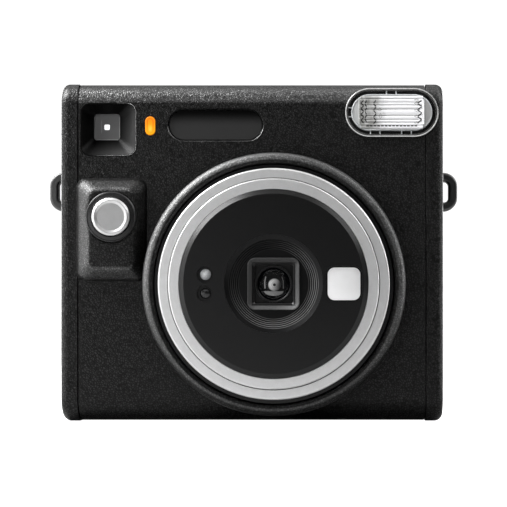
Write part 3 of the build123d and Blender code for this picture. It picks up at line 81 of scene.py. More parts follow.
# ---------------------------------------------------------------- node trees
class Surface:
    """A procedural material: a Principled surface plus short calls that add the nodes feeding it."""

    def __init__(self, name, **inputs):
        self.material = bpy.data.materials.new(name)
        self.material.use_nodes = True
        self.tree = self.material.node_tree
        self.tree.nodes.clear()
        self.output = self.tree.nodes.new("ShaderNodeOutputMaterial")
        self.shader = self.add("ShaderNodeBsdfPrincipled")
        self.tree.links.new(self.shader.outputs[0], self.output.inputs["Surface"])
        self.set(**inputs)

    def add(self, kind, inputs=None, **settings):
        node = self.tree.nodes.new(kind)
        for key, value in settings.items():
            setattr(node, key, value)
        for key, value in (inputs or {}).items():
            self.feed(node.inputs[key], value)
        return node

    def feed(self, socket, value):
        if isinstance(value, bpy.types.NodeSocket):
            self.tree.links.new(value, socket)
        elif isinstance(value, (tuple, list)) and len(value) == 3 and socket.type == "RGBA":
            socket.default_value = (*value, 1.0)
        else:
            socket.default_value = value

    def set(self, **inputs):
        """Principled inputs by name, with underscores for spaces."""
        for key, value in inputs.items():
            self.feed(self.shader.inputs[key.replace("_", " ")], value)

    def position(self, stretch=(1, 1, 1)):
        where = self.add("ShaderNodeTexCoord").outputs["Object"]
        if stretch == (1, 1, 1):
            return where
        return self.add("ShaderNodeMapping", {"Vector": where, "Scale": stretch}).outputs[0]

    def axis(self, name, origin=0.0):
        """Distance along X, Y or Z from origin."""
        split = self.add("ShaderNodeSeparateXYZ", {"Vector": self.position()})
        return self.minus(split.outputs[name], origin)

    def facing(self, name):
        """Component of the unit normal along X, Y or Z."""
        normal = self.add("ShaderNodeNewGeometry").outputs["Normal"]
        return self.add("ShaderNodeSeparateXYZ", {"Vector": normal}).outputs[name]

    def noise(self, size_mm, detail=3.0, roughness=0.55, where=None, distortion=0.0):
        inputs = {"Vector": where or self.position(), "Scale": 1 / (size_mm * MM),
                  "Detail": detail, "Roughness": roughness, "Distortion": distortion}
        return self.add("ShaderNodeTexNoise", inputs).outputs["Fac"]

    def cells(self, size_mm, feature="SMOOTH_F1", where=None):
        inputs = {"Vector": where or self.position(), "Scale": 1 / (size_mm * MM)}
        return self.add("ShaderNodeTexVoronoi", inputs, feature=feature).outputs["Distance"]

    def maths(self, operation, a, b=0.0, c=0.0):
        node = self.add("ShaderNodeMath", operation=operation)
        for socket, value in zip(node.inputs, (a, b, c)):
            self.feed(socket, value)
        return node.outputs[0]

    def times(self, a, b):
        return self.maths("MULTIPLY", a, b)

    def plus(self, a, b):
        return self.maths("ADD", a, b)

    def minus(self, a, b):
        return self.maths("SUBTRACT", a, b)

    def larger(self, a, b):
        return self.maths("MAXIMUM", a, b)

    def absolute(self, a):
        return self.maths("ABSOLUTE", a)

    def remap(self, value, low, high, to_low=0.0, to_high=1.0, smooth=False):
        inputs = {"Value": value, "From Min": low, "From Max": high, "To Min": to_low, "To Max": to_high}
        kind = "SMOOTHSTEP" if smooth else "LINEAR"
        return self.add("ShaderNodeMapRange", inputs, interpolation_type=kind).outputs["Result"]

    def mix(self, share, a, b):
        node = self.add("ShaderNodeMix", data_type="RGBA")
        factor, first, second = (node.inputs[0], node.inputs[6], node.inputs[7])
        self.feed(factor, share)
        self.feed(first, a)
        self.feed(second, b)
        return node.outputs[2]

    def bump(self, height, depth_mm, strength=1.0, under=None):
        inputs = {"Height": height, "Distance": depth_mm * MM, "Strength": strength}
        if under is not None:
            inputs["Normal"] = under
        return self.add("ShaderNodeBump", inputs).outputs["Normal"]

    def soft_normal(self, radius_mm):
        samples = 4 if radius_mm < 0.5 else 12
        return self.add("ShaderNodeBevel", {"Radius": radius_mm * MM}, samples=samples).outputs[0]

    def edges(self, radius_mm):
        """1 along the model's sharp edges, 0 on its open faces."""
        plain = self.add("ShaderNodeNewGeometry").outputs["Normal"]
        node = self.add("ShaderNodeVectorMath", operation="DOT_PRODUCT")
        self.feed(node.inputs[0], self.soft_normal(radius_mm))
        self.feed(node.inputs[1], plain)
        return self.remap(node.outputs["Value"], 0.99, 0.8)

    def distance_from(self, point):
        """Distance from the axis through a point along Y."""
        offset = self.add("ShaderNodeVectorMath", operation="SUBTRACT")
        self.feed(offset.inputs[0], self.position())
        self.feed(offset.inputs[1], tuple(point))
        spread = self.add("ShaderNodeVectorMath", operation="MULTIPLY")
        self.feed(spread.inputs[0], offset.outputs[0])
        self.feed(spread.inputs[1], (1, 0, 1))
        length = self.add("ShaderNodeVectorMath", operation="LENGTH")
        self.feed(length.inputs[0], spread.outputs[0])
        return length.outputs["Value"]

    def leaning_out(self, point):
        """How much a face leans away from the axis through a point along Y: 1 outwards, -1 inwards."""
        across = self.times(self.facing("X"), self.axis("X", point.x))
        upward = self.times(self.facing("Z"), self.axis("Z", point.z))
        return self.maths("DIVIDE", self.plus(across, upward), self.distance_from(point))


# ---------------------------------------------------------------- materials
def leather_grain(s):
    """Height of moulded leather grain: small pebbles parted by short wandering creases."""
    wander = s.noise(1.4, detail=1.0)
    drift = s.add("ShaderNodeTexNoise", {"Vector": s.position(), "Scale": 700.0}).outputs["Color"]
    bend = s.add("ShaderNodeVectorMath", operation="MULTIPLY_ADD")
    s.feed(bend.inputs[0], drift)
    s.feed(bend.inputs[1], (0.6 * MM, 0.6 * MM, 0.6 * MM))
    s.feed(bend.inputs[2], s.position())
    pebble = s.cells(0.82, feature="DISTANCE_TO_EDGE", where=bend.outputs[0])
    pebble = s.remap(pebble, 0.0, 0.30, smooth=True)
    fine = s.noise(0.22, detail=2.0)
    height = s.maths("MULTIPLY_ADD", fine, 0.30, pebble)
    return s.times(height, s.remap(wander, 0.25, 0.75, 0.6, 1.0))


def grained_black(name="grained_black", shine=1.35):
    """Leather of the casing, glossier on the slopes that lean up."""
    s = Surface(name)
    up = s.facing("Z")
    rising = s.remap(up, 0.02, 0.22, smooth=True)
    lean = s.times(rising, s.remap(up, 0.88, 0.52, smooth=True))
    return leather(s, lean, softness=0.12, shine=shine, dull=0.32)


def grip_black():
    """Leather of the finger grip, glossier on the slopes that don't lean right."""
    s = Surface("grip_black")
    lean = s.remap(s.absolute(s.facing("Y")), 0.995, 0.90, smooth=True)
    lean = s.times(lean, s.remap(s.facing("X"), 0.1, 0.5, 1.0, 0.0))
    return leather(s, lean, softness=2.4, shine=0.95, dull=0.38)


def collar_black():
    """Leather of the ring round the lens, glossier on its outer slope except where that leans down."""
    s = Surface("collar_black", Coat_Roughness=0.45)
    lean = s.remap(s.leaning_out(LENS), -0.05, 0.25, smooth=True)
    lean = s.times(lean, s.remap(s.facing("Z"), -0.45, 0.0))
    s.set(Coat_Weight=s.times(lean, s.remap(s.facing("X"), -0.1, 0.4, 1.0, 0.2)))
    return leather(s, lean, softness=1.6, shine=1.0, dull=0.40)


def leather(s, lean, softness, shine, dull):
    """Black under leather grain: lean is 1 where it shines most, dull the lowest roughness.

    Level faces, such as the casing's top, are duller than the rest.
    """
    drift = s.noise(2.5, detail=2.0)
    base = s.mix(s.remap(drift, 0.35, 0.65), (0.0012, 0.0012, 0.0011), (0.0030, 0.0030, 0.0028))
    # Lighter grey in patches along the sharp edges.
    lighter_edges = s.times(s.edges(0.3), s.noise(1.1))
    s.set(Base_Color=s.mix(lighter_edges, base, (0.025, 0.025, 0.025)))
    height = leather_grain(s)
    shade = s.remap(height, 0.25, 1.15, 0.55, 1.65)
    level = s.remap(s.absolute(s.facing("Z")), 0.975, 0.995, smooth=True)
    gloss = s.times(s.remap(lean, 0.0, 1.0, 0.27, shine), shade)
    s.set(Specular_IOR_Level=s.times(gloss, s.remap(level, 0.0, 1.0, 1.0, 0.45)))
    upright = s.remap(s.absolute(s.facing("Z")), 0.80, 0.97, 1.0, 0.25, smooth=True)
    upright = s.times(upright, s.remap(lean, 0.0, 1.0, 1.0, 0.7))
    upright = s.larger(upright, level)
    normal = s.bump(s.times(height, upright), 0.09, under=s.soft_normal(softness))
    s.set(Normal=normal, Coat_Normal=normal)
    roughness = s.remap(s.noise(0.3), 0.3, 0.7, dull, dull + 0.06)
    s.set(Roughness=s.plus(roughness, s.times(level, 0.22)))
    return s.material


def satin_black(name="satin_black", gloss=0.32):
    s = Surface(name, Specular_IOR_Level=gloss)
    speck = s.noise(0.14, detail=2.0)
    blotch = s.noise(0.5, detail=2.0)
    base = s.mix(s.remap(blotch, 0.3, 0.7), (0.0014, 0.0014, 0.0015), (0.0032, 0.0032, 0.0034))
    s.set(Base_Color=s.mix(s.times(s.edges(0.2), 0.6), base, (0.020, 0.020, 0.021)))
    s.set(Roughness=s.remap(speck, 0.3, 0.7, 0.27, 0.35))
    s.set(Normal=s.bump(speck, 0.014, under=s.soft_normal(0.08)))
    return s.material


def plate_black():
    """Blank name plate, with painted shadow along its top, where the recess edge shades it."""
    s = Surface("plate_black", Roughness=0.4)
    # Painted shadow: the plate gets darker and loses its gloss towards the top.
    depth = s.remap(s.axis("Z", PLATE.z), -0.5 * MM, 4.6 * MM, smooth=True)
    tone = s.mix(s.noise(0.4), (0.016, 0.016, 0.016), (0.021, 0.021, 0.021))
    s.set(Base_Color=s.mix(depth, tone, (0.0015, 0.0015, 0.0015)))
    s.set(Specular_IOR_Level=s.remap(depth, 0.0, 1.0, 0.4, 0.05))
    s.set(Normal=s.bump(s.noise(0.3), 0.006, under=s.soft_normal(0.1)))
    return s.material


def finder_well():
    """Bezel of the finder: black beside the pane, with painted light growing towards its lower right and
    a painted highlight on its lower right lip.
    """
    s = Surface("finder_well", Roughness=0.4)
    across = s.axis("X", FINDER_PANE.x)
    up = s.axis("Z", FINDER_PANE.z)
    far = s.remap(s.larger(s.absolute(across), s.absolute(up)), PANE_HALF, 9.6 * MM)
    slant = s.minus(s.times(across, 1.3), s.times(up, 0.6))
    lean = s.remap(slant, -1.0 * MM, 14.0 * MM)
    # Painted light on the funnel's slopes, stronger towards the lower right.
    glow = s.times(s.maths("POWER", lean, 1.3), s.remap(far, 0.0, 1.0, 0.10, 1.0))
    glow = s.times(glow, s.remap(s.noise(0.5), 0.3, 0.7, 0.85, 1.0))
    base = s.mix(glow, (0.0012, 0.0012, 0.0012), (0.044, 0.044, 0.044))
    # Painted highlight along the lower right lip.
    rim = s.times(s.remap(s.facing("Y"), -0.90, -0.98), s.remap(far, 0.5, 0.7))
    lip = s.times(rim, s.remap(lean, 0.1, 0.6))
    s.set(Base_Color=s.mix(lip, base, (0.85, 0.85, 0.85)))
    s.set(Specular_IOR_Level=s.remap(lean, 0.0, 1.0, 0.08, 0.13))
    s.set(Normal=s.bump(s.noise(0.14, detail=2.0), 0.010, under=s.soft_normal(0.8)))
    return s.material


def baffle_black():
    """Black ring whose fine circular ribs carry painted highlights, stronger at the right and below."""
    s = Surface("baffle_black", Specular_IOR_Level=0.16)
    away = s.distance_from(LENS)
    wave = s.maths("SINE", s.times(away, 2 * math.pi / RIB_PITCH))
    ripple = s.remap(wave, 0.0, 1.0, smooth=True)
    ribbed = s.times(s.remap(away, 11.8 * MM, 12.2 * MM), s.remap(away, 15.5 * MM, 15.2 * MM))
    slant = s.minus(s.axis("X", LENS.x), s.times(s.axis("Z", LENS.z), 0.9))
    lean = s.maths("POWER", s.remap(slant, -16.0 * MM, 20.0 * MM, 0.22, 1.0), 2.0)
    # Painted highlights on the ribs, mixed into the colour.
    glow = s.times(s.times(ripple, ribbed), lean)
    dull = s.mix(s.noise(3.0), (0.0022, 0.0022, 0.0024), (0.0040, 0.0040, 0.0043))
    s.set(Base_Color=s.mix(glow, dull, (0.46, 0.46, 0.46)))
    s.set(Roughness=s.remap(s.noise(0.6), 0.3, 0.7, 0.34, 0.42))
    s.set(Normal=s.bump(s.noise(0.6), 0.003))
    return s.material


def hood_black():
    """Square hood: black, its moulded steps painted as grey lit bands, darker on the right, lighter at
    the lower right corner.
    """
    s = Surface("hood_black", Specular_IOR_Level=0.25)
    across = s.axis("X", LENS.x)
    up = s.axis("Z", LENS.z)
    far = s.larger(s.absolute(across), s.absolute(up))
    outer = s.times(s.remap(far, 7.3 * MM, 7.6 * MM, smooth=True),
                    s.remap(far, 9.2 * MM, 8.9 * MM, smooth=True))
    inner = s.times(s.remap(far, 6.3 * MM, 6.5 * MM, smooth=True),
                    s.remap(far, 6.9 * MM, 6.7 * MM, smooth=True))
    # Painted light on the steps: faint overall, a little more at the right, most at the lower right
    # corner; the far right is then darkened.
    right = s.times(s.remap(across, 5.0 * MM, 7.5 * MM), 0.02)
    corner = s.times(s.remap(s.minus(across, up), 8.0 * MM, 15.0 * MM), 0.16)
    light = s.plus(0.15, s.plus(right, corner))
    rim = s.times(s.plus(outer, s.times(inner, 0.5)), light)
    rim = s.times(rim, s.remap(across, 6.5 * MM, 7.5 * MM, 1.0, 0.62))
    rim = s.times(rim, s.remap(s.noise(0.5), 0.3, 0.7, 0.8, 1.0))
    s.set(Base_Color=s.mix(rim, (0.0015, 0.0015, 0.0016), (0.60, 0.60, 0.60)))
    s.set(Roughness=s.remap(s.noise(0.3), 0.3, 0.7, 0.30, 0.38))
    s.set(Normal=s.bump(s.noise(0.14, detail=2.0), 0.010, under=s.soft_normal(0.15)))
    return s.material


def gloss_black():
    s = Surface("gloss_black")
    smear = s.noise(6.0, detail=4.0)
    s.set(Base_Color=s.mix(smear, (0.004, 0.004, 0.0045), (0.008, 0.008, 0.0085)))
    s.set(Roughness=s.remap(smear, 0.3, 0.7, 0.24, 0.34))
    s.set(Normal=s.bump(s.noise(0.6), 0.003, under=s.soft_normal(0.1)))
    return s.material


def silver_paint(name="silver_paint", tone=0.70):
    """Fine sandblasted silver with polished edges, drawn lighter, and painted shade on its slopes."""
    s = Surface(name, Metallic=0.92)
    flake = s.noise(0.16, detail=2.0)
    cloud = s.noise(2.2, detail=2.0)
    dark = (tone * 0.93, tone * 0.93, tone * 0.93)
    light = (tone * 1.04, tone * 1.04, tone * 1.05)
    mottle = s.maths("MULTIPLY_ADD", cloud, 0.4, s.times(flake, 0.6))
    base = s.mix(s.remap(mottle, 0.35, 0.65), dark, light)
    edge = s.edges(0.12)
    # Painted shade: darker silver on the slopes that turn away from the front.
    slope = s.remap(s.absolute(s.facing("Y")), 0.985, 0.90)
    s.set(Base_Color=s.mix(slope, s.mix(edge, base, (0.90, 0.90, 0.90)), (0.58, 0.58, 0.58)))
    s.set(Roughness=s.mix(edge, s.remap(s.noise(0.25), 0.3, 0.7, 0.36, 0.44), (0.26, 0.26, 0.26)))
    s.set(Normal=s.bump(flake, 0.008, under=s.soft_normal(0.08)))
    return s.material


def clear_plastic():
    """Water-clear moulding drawn opaque: its light grey, lighter in streaks, is painted light gathered
    in the plastic.
    """
    s = Surface("clear_plastic", IOR=1.49)
    streak = s.noise(0.9, detail=3.0, where=s.position((0.3, 1, 1.6)))
    # Painted light: the grey and its lighter streaks stand in for light gathered in the clear plastic.
    s.set(Base_Color=s.mix(s.remap(streak, 0.3, 0.7), (0.60, 0.62, 0.63), (0.86, 0.88, 0.90)))
    s.set(Roughness=s.remap(s.noise(1.5), 0.3, 0.7, 0.10, 0.18))
    s.set(Normal=s.bump(s.noise(0.8), 0.004, under=s.soft_normal(0.06)))
    return s.material


def optical_glass():
    """Coated glass: dark, with sharp reflections, and partly see-through."""
    s = Surface("optical_glass", IOR=1.75, Base_Color=(0.004, 0.004, 0.006), Alpha=0.55)
    s.set(Coat_Weight=0.6, Coat_Roughness=0.02)
    s.set(Roughness=s.remap(s.noise(4.0), 0.3, 0.7, 0.02, 0.05))
    return s.material


def amber_plastic():
    """Lit amber lens: orange rim, a darker ring inside it and a yellow lower middle."""
    s = Surface("amber_plastic", Roughness=0.5, Specular_IOR_Level=0.15)
    along = s.axis("Z", LAMP.z)
    across = s.absolute(s.axis("X", LAMP.x))
    over = s.larger(s.minus(s.absolute(along), 1.5 * MM), 0.0)
    squares = s.plus(s.maths("POWER", across, 2.0), s.maths("POWER", over, 2.0))
    inset = s.maths("POWER", squares, 0.5)
    ring = s.times(s.remap(inset, 0.70 * MM, 0.95 * MM, smooth=True),
                   s.remap(inset, 1.35 * MM, 1.10 * MM, smooth=True))
    ring = s.times(ring, s.remap(along, -3.0 * MM, 1.0 * MM))
    glow = s.mix(s.remap(along, 1.8 * MM, -0.6 * MM), (0.90, 0.27, 0.005), (0.95, 0.42, 0.010))
    yellow = s.times(s.remap(inset, 0.9 * MM, 0.2 * MM), s.remap(along, 0.6 * MM, -0.6 * MM))
    glow = s.mix(s.times(yellow, s.noise(0.8)), glow, (0.95, 0.75, 0.12))
    glow = s.mix(ring, glow, (0.55, 0.13, 0.003))
    glow = s.mix(s.remap(inset, 1.55 * MM, 1.85 * MM, smooth=True), glow, (0.22, 0.06, 0.003))
    s.set(Base_Color=(0.4, 0.10, 0.002), Emission_Color=glow)
    s.set(Emission_Strength=s.remap(s.facing("Y"), 0.3, 0.0, 0.0, 0.95))
    s.set(Normal=s.bump(s.noise(0.6), 0.01))
    return s.material


def mirror():
    s = Surface("mirror", Metallic=0.9)
    haze = s.noise(3.0)
    s.set(Base_Color=s.mix(haze, (0.90, 0.90, 0.90), (0.96, 0.96, 0.97)))
    s.set(Roughness=s.remap(haze, 0.3, 0.7, 0.46, 0.52))
    s.set(Normal=s.bump(haze, 0.002, under=s.soft_normal(0.15)))
    # Faint painted glow that lifts the mirror's brightness.
    s.set(Emission_Color=(1, 1, 1), Emission_Strength=0.02)
    return s.material


def reflector():
    s = Surface("reflector", Metallic=1.0)
    s.set(Base_Color=s.mix(s.noise(2.0), (0.82, 0.82, 0.83), (0.92, 0.92, 0.92)))
    s.set(Roughness=s.remap(s.noise(1.0), 0.3, 0.7, 0.12, 0.22))
    return s.material


def steel():
    s = Surface("steel", Metallic=1.0)
    brushed = s.noise(0.2, where=s.position((1, 1, 8)))
    s.set(Base_Color=s.mix(brushed, (0.35, 0.35, 0.36), (0.5, 0.5, 0.5)))
    s.set(Roughness=s.remap(brushed, 0.3, 0.7, 0.25, 0.4))
    s.set(Normal=s.bump(brushed, 0.004))
    return s.material


def nylon():
    s = Surface("nylon")
    speck = s.noise(0.4)
    s.set(Base_Color=s.mix(speck, (0.62, 0.60, 0.55), (0.72, 0.71, 0.67)))
    s.set(Roughness=s.remap(speck, 0.3, 0.7, 0.4, 0.55))
    s.set(Normal=s.bump(speck, 0.01))
    return s.material


def board():
    s = Surface("board")
    speck = s.noise(0.7)
    s.set(Base_Color=s.mix(speck, (0.015, 0.10, 0.04), (0.03, 0.15, 0.06)))
    s.set(Roughness=s.remap(speck, 0.3, 0.7, 0.3, 0.45))
    s.set(Normal=s.bump(s.cells(0.6), 0.01))
    return s.material


def cell_can():
    s = Surface("cell_can", Metallic=0.6)
    speck = s.noise(0.5)
    s.set(Base_Color=s.mix(speck, (0.30, 0.31, 0.33), (0.42, 0.43, 0.45)))
    s.set(Roughness=s.remap(speck, 0.3, 0.7, 0.25, 0.4))
    s.set(Normal=s.bump(speck, 0.005))
    return s.material


def smoked_window():
    s = Surface("smoked_window", IOR=1.49, Alpha=0.8)
    s.set(Base_Color=s.mix(s.noise(3.0), (0.020, 0.015, 0.012), (0.030, 0.022, 0.018)))
    s.set(Roughness=s.remap(s.noise(2.0), 0.3, 0.7, 0.06, 0.12))
    return s.material


MATERIALS = [grained_black, satin_black, gloss_black, silver_paint, clear_plastic, optical_glass,
             amber_plastic, mirror, reflector, steel, nylon, board, cell_can, smoked_window]


def flash_painted_glow(name="flash_painted_glow", tone=0.86):
    """Body of the flash window, bright with a painted glow, darker towards its left end and in level
    streaks.
    """
    s = Surface(name, IOR=1.49)
    side = s.remap(s.axis("X", FLASH.x), -9.5 * MM, 2.0 * MM, smooth=True)
    streak = s.noise(0.9, detail=3.0, where=s.position((0.12, 1, 1.6)))
    patch = s.noise(1.6, detail=2.0, where=s.position((0.9, 1, 0.6)))
    light = s.plus(s.times(side, 0.45), s.times(s.plus(streak, patch), 0.35))
    dark = (tone * 0.26, tone * 0.26, tone * 0.245)
    glow = s.mix(s.remap(light, 0.30, 0.72), dark, (tone, tone, tone * 1.02))
    # Painted glow: the window's colour is also emitted, standing in for light gathered in it.
    s.set(Base_Color=glow, Emission_Color=glow, Emission_Strength=0.36)
    s.set(Roughness=s.remap(streak, 0.3, 0.7, 0.14, 0.20), Coat_Weight=0.4)
    s.set(Normal=s.bump(s.noise(0.5), 0.01, under=s.soft_normal(0.05)))
    return s.material


def clear_edge():
    """Clear moulding seen edge-on: its front lip has a painted glow of gathered light, dimmed by painted
    shade at the upper right.
    """
    s = Surface("clear_edge", Metallic=0.75)
    s.set(Base_Color=s.mix(s.noise(1.2), (0.34, 0.34, 0.34), (0.46, 0.46, 0.45)))
    lip = s.remap(s.axis("Y", RIM_FRONT), 0.05 * MM, 0.22 * MM, 1.0, 0.0)
    shade = s.times(s.remap(s.axis("X", FLASH.x), 10.0 * MM, 12.5 * MM),
                    s.remap(s.axis("Z", FLASH.z), -1.0 * MM, 2.0 * MM))
    # Painted glow on the lip, dimmed by painted shade at the upper right.
    lit = s.times(lip, s.minus(1.0, s.times(shade, 0.85)))
    strength = s.times(lit, s.remap(s.noise(1.0), 0.3, 0.7, 0.25, 0.50))
    s.set(Emission_Color=(1, 1, 1), Emission_Strength=strength)
    s.set(Roughness=s.remap(s.noise(0.8), 0.3, 0.7, 0.12, 0.2))
    s.set(Normal=s.bump(s.noise(1.0), 0.004))
    return s.material


def flash_crescent():
    """Plain grey ends of the raised centre, outside its ridges."""
    s = Surface("flash_crescent", IOR=1.49, Roughness=0.3)
    side = s.remap(s.axis("X", FLASH.x), -12.0 * MM, 12.0 * MM)
    tone = s.mix(side, (0.58, 0.59, 0.59), (0.50, 0.50, 0.50))
    s.set(Base_Color=s.mix(s.times(s.noise(0.7), 0.3), tone, (0.60, 0.60, 0.60)))
    s.set(Normal=s.bump(s.noise(0.3), 0.006))
    return s.material


def flash_line(name, dark, light):
    """A line in the flash window, darker towards its left end."""
    s = Surface(name, Roughness=0.3)
    place = s.plus(s.axis("X", FLASH.x), s.times(s.noise(2.0), 8.0 * MM))
    side = s.remap(place, -6.0 * MM, 8.0 * MM)
    s.set(Base_Color=s.mix(side, (dark, dark, dark * 0.9), (light, light, light * 0.97)))
    s.set(Normal=s.bump(s.noise(0.3), 0.004))
    return s.material


def finder_grey():
    """Finder's front pane: grey, a border with a painted highlight that grows towards the lower right,
    one faint upright streak left of its middle.
    """
    s = Surface("finder_grey", Roughness=0.22)
    across = s.axis("X", FINDER_PANE.x)
    up = s.axis("Z", FINDER_PANE.z)
    streak = s.remap(s.absolute(s.plus(across, 2.0 * MM)), 0.25 * MM, 0.05 * MM)
    tall = s.remap(s.absolute(s.plus(up, -0.2 * MM)), 2.6 * MM, 1.8 * MM)
    base = s.mix(s.noise(2.5), (0.175, 0.175, 0.176), (0.215, 0.215, 0.216))
    base = s.mix(s.times(streak, s.times(tall, 0.35)), base, (0.50, 0.50, 0.50))
    far = s.larger(s.absolute(across), s.absolute(up))
    # Painted highlight on the raised border, stronger towards the lower right.
    border = s.remap(far, 4.15 * MM, 4.45 * MM, smooth=True)
    lean = s.remap(s.minus(across, up), -6.0 * MM, 6.0 * MM, 0.15, 1.0)
    s.set(Base_Color=s.mix(s.times(border, lean), base, (0.45, 0.45, 0.45)))
    s.set(Normal=s.bump(s.noise(0.5), 0.002, under=s.soft_normal(0.1)))
    return s.material


def finder_light():
    """Daylight that comes through the finder from the eyepiece."""
    s = Surface("finder_light", Base_Color=(0.9, 0.9, 0.9), Roughness=0.3)
    s.set(Emission_Color=s.mix(s.noise(1.0), (0.97, 0.98, 1.0), (1.0, 1.0, 1.0)), Emission_Strength=1.0)
    return s.material


def inner_lens():
    """Inside element: grey with painted light that fades to the right and a painted glow, faint rings
    and a dark centre spot.
    """
    s = Surface("inner_lens", Roughness=0.35)
    away = s.distance_from(ELEMENT)
    rim = s.remap(away, 0.38 * MM, 0.66 * MM, smooth=True)
    ripple = s.maths("SINE", s.times(away, 2 * math.pi / (0.75 * MM)))
    # Painted light: lighter at the left, fading to the right.
    slant = s.minus(s.axis("X", LENS.x), s.times(s.axis("Z", LENS.z), 0.3))
    side = s.remap(slant, -1.6 * MM, 1.9 * MM)
    grey = s.mix(side, (0.66, 0.66, 0.66), (0.03, 0.03, 0.03))
    grey = s.mix(s.remap(ripple, -1.0, 1.0, 0.0, 0.25), grey, (0.05, 0.05, 0.05))
    grey = s.mix(s.remap(away, 1.8 * MM, ELEMENT_R), grey, (0.02, 0.02, 0.02))
    s.set(Base_Color=s.mix(rim, (0.001, 0.001, 0.001), grey))
    # Painted glow: the grey is also emitted.
    s.set(Emission_Color=s.mix(rim, (0, 0, 0), grey), Emission_Strength=0.8)
    return s.material


def painted_reflection():
    """Painted reflections of the lights in the front glass, brighter at the left."""
    s = Surface("painted_reflection", Roughness=0.4, Base_Color=(0.05, 0.05, 0.05))
    side = s.remap(s.axis("X", LENS.x), -3.2 * MM, 3.2 * MM)
    tone = s.mix(side, (0.30, 0.30, 0.30), (0.10, 0.10, 0.10))
    glow = s.mix(s.times(s.noise(0.8), 0.5), tone, (0.08, 0.08, 0.08))
    s.set(Emission_Color=glow, Emission_Strength=0.9)
    return s.material


def front_coating():
    """Front glass: nearly clear, with a dark outer edge."""
    s = Surface("front_coating", IOR=1.5, Specular_IOR_Level=0.2, Base_Color=(0.002, 0.002, 0.003))
    away = s.distance_from(LENS)
    s.set(Alpha=s.remap(away, 4.2 * MM, 5.3 * MM, 0.12, 0.9, smooth=True))
    s.set(Roughness=s.remap(s.noise(3.0), 0.3, 0.7, 0.04, 0.08))
    return s.material


def dress_nodes():
    """Gives every CAD node the finish of its material slot, or one of its own."""
    made = {make.__name__: make() for make in MATERIALS}
    for part in frame["record"]["subparts"]:
        node = frame["nodes"][part["node"]]
        node.data.materials.clear()
        node.data.materials.append(made[part["material_slot"]])
    sides = grained_black("grained_black_sides", shine=0.70)
    special = {
        "shutter_button": silver_paint("button_silver", tone=0.44),
        "name_plate": plate_black(),
        "grip_housing": grip_black(),
        "lens_collar": collar_black(),
        "left_side_cover": sides,
        "right_side_cover": sides,
        "strap_lugs": satin_black("satin_black_lugs", gloss=0.95),
        "finder_bezel": finder_well(),
        "baffle_ring": baffle_black(),
        "lens_hood": hood_black(),
    }
    for node, finish in special.items():
        frame["nodes"][node].data.materials[0] = finish
    return made


# ---------------------------------------------------------------- mesh pieces
SHARP_FROM = math.radians(40)
MERGE_WITHIN = 1e-7


def make_piece(name, verts, faces, finish, body="casing"):
    """A closed mesh that rides on a CAD body, smooth except at its sharp edges."""
    mesh = bpy.data.meshes.new(name)
    mesh.from_pydata(verts, [], faces)
    shape = bmesh.new()
    shape.from_mesh(mesh)
    bmesh.ops.remove_doubles(shape, verts=shape.verts, dist=MERGE_WITHIN)
    bmesh.ops.recalc_face_normals(shape, faces=shape.faces)
    shape.to_mesh(mesh)
    shape.free()
    mesh.materials.append(finish)
    mesh.shade_smooth()
    mesh.set_sharp_from_angle(angle=SHARP_FROM)
    piece = bpy.data.objects.new(name, mesh)
    bpy.context.scene.collection.objects.link(piece)
    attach(piece, body)
    return piece


def loop_faces(rings, points, closed):
    """Quads between neighbouring rings of equal point counts; the last ring joins the first.

    closed also joins each ring's end to its start.
    """
    faces = []
    for ring in range(rings):
        here = ring * points
        after = (ring + 1) % rings * points
        for k in range(points if closed else points - 1):
            step = (k + 1) % points
            faces.append((here + k, here + step, after + step, after + k))
    return faces


def racetrack_points(profile, spot, half_length, steps):
    """Profile points (radius, depth) carried round a stadium facing -Y; half_length 0 makes a circle."""
    verts = []
    for ring in range(steps):
        angle = 2 * math.pi * (ring + 0.5) / steps
        x = spot.x + math.copysign(half_length, math.cos(angle))
        for radius, depth in profile:
            verts.append((x + radius * math.cos(angle), depth, spot.z + radius * math.sin(angle)))
    return verts


def swept_ring(name, profile, spot, half_length, finish):
    """A ring whose closed profile runs round a stadium."""
    steps = 128
    verts = racetrack_points(profile, spot, half_length, steps)
    return make_piece(name, verts, loop_faces(steps, len(profile), True), finish)


def capped_plate(name, profile, spot, half_length, finish, body="casing", steps=128):
    """A plate whose open profile runs from its back rim to its front rim; both ends are capped."""
    verts = racetrack_points(profile, spot, half_length, steps)
    count = len(profile)
    faces = loop_faces(steps, count, False)
    faces.append([ring * count for ring in range(steps)])
    faces.append([ring * count + count - 1 for ring in range(steps)])
    return make_piece(name, verts, faces, finish, body)


def quarter(radius, depth, edge, steps=4):
    """Rounded shoulder from the side at radius to the front at depth."""
    turns = [math.pi / 2 * k / steps for k in range(steps + 1)]
    return [(radius - edge + edge * math.cos(a), depth + edge - edge * math.sin(a)) for a in turns]


def extruded_bar(name, section, x0, x1, finish, slot):
    """A closed (z, depth) section drawn out along X."""
    count = len(section)
    verts = [(x0, depth, z) for z, depth in section] + [(x1, depth, z) for z, depth in section]
    faces = [(k, (k + 1) % count, count + (k + 1) % count, count + k) for k in range(count)]
    faces += [list(range(count)), list(range(count, 2 * count))]
    return make_piece(name, verts, faces, finish)


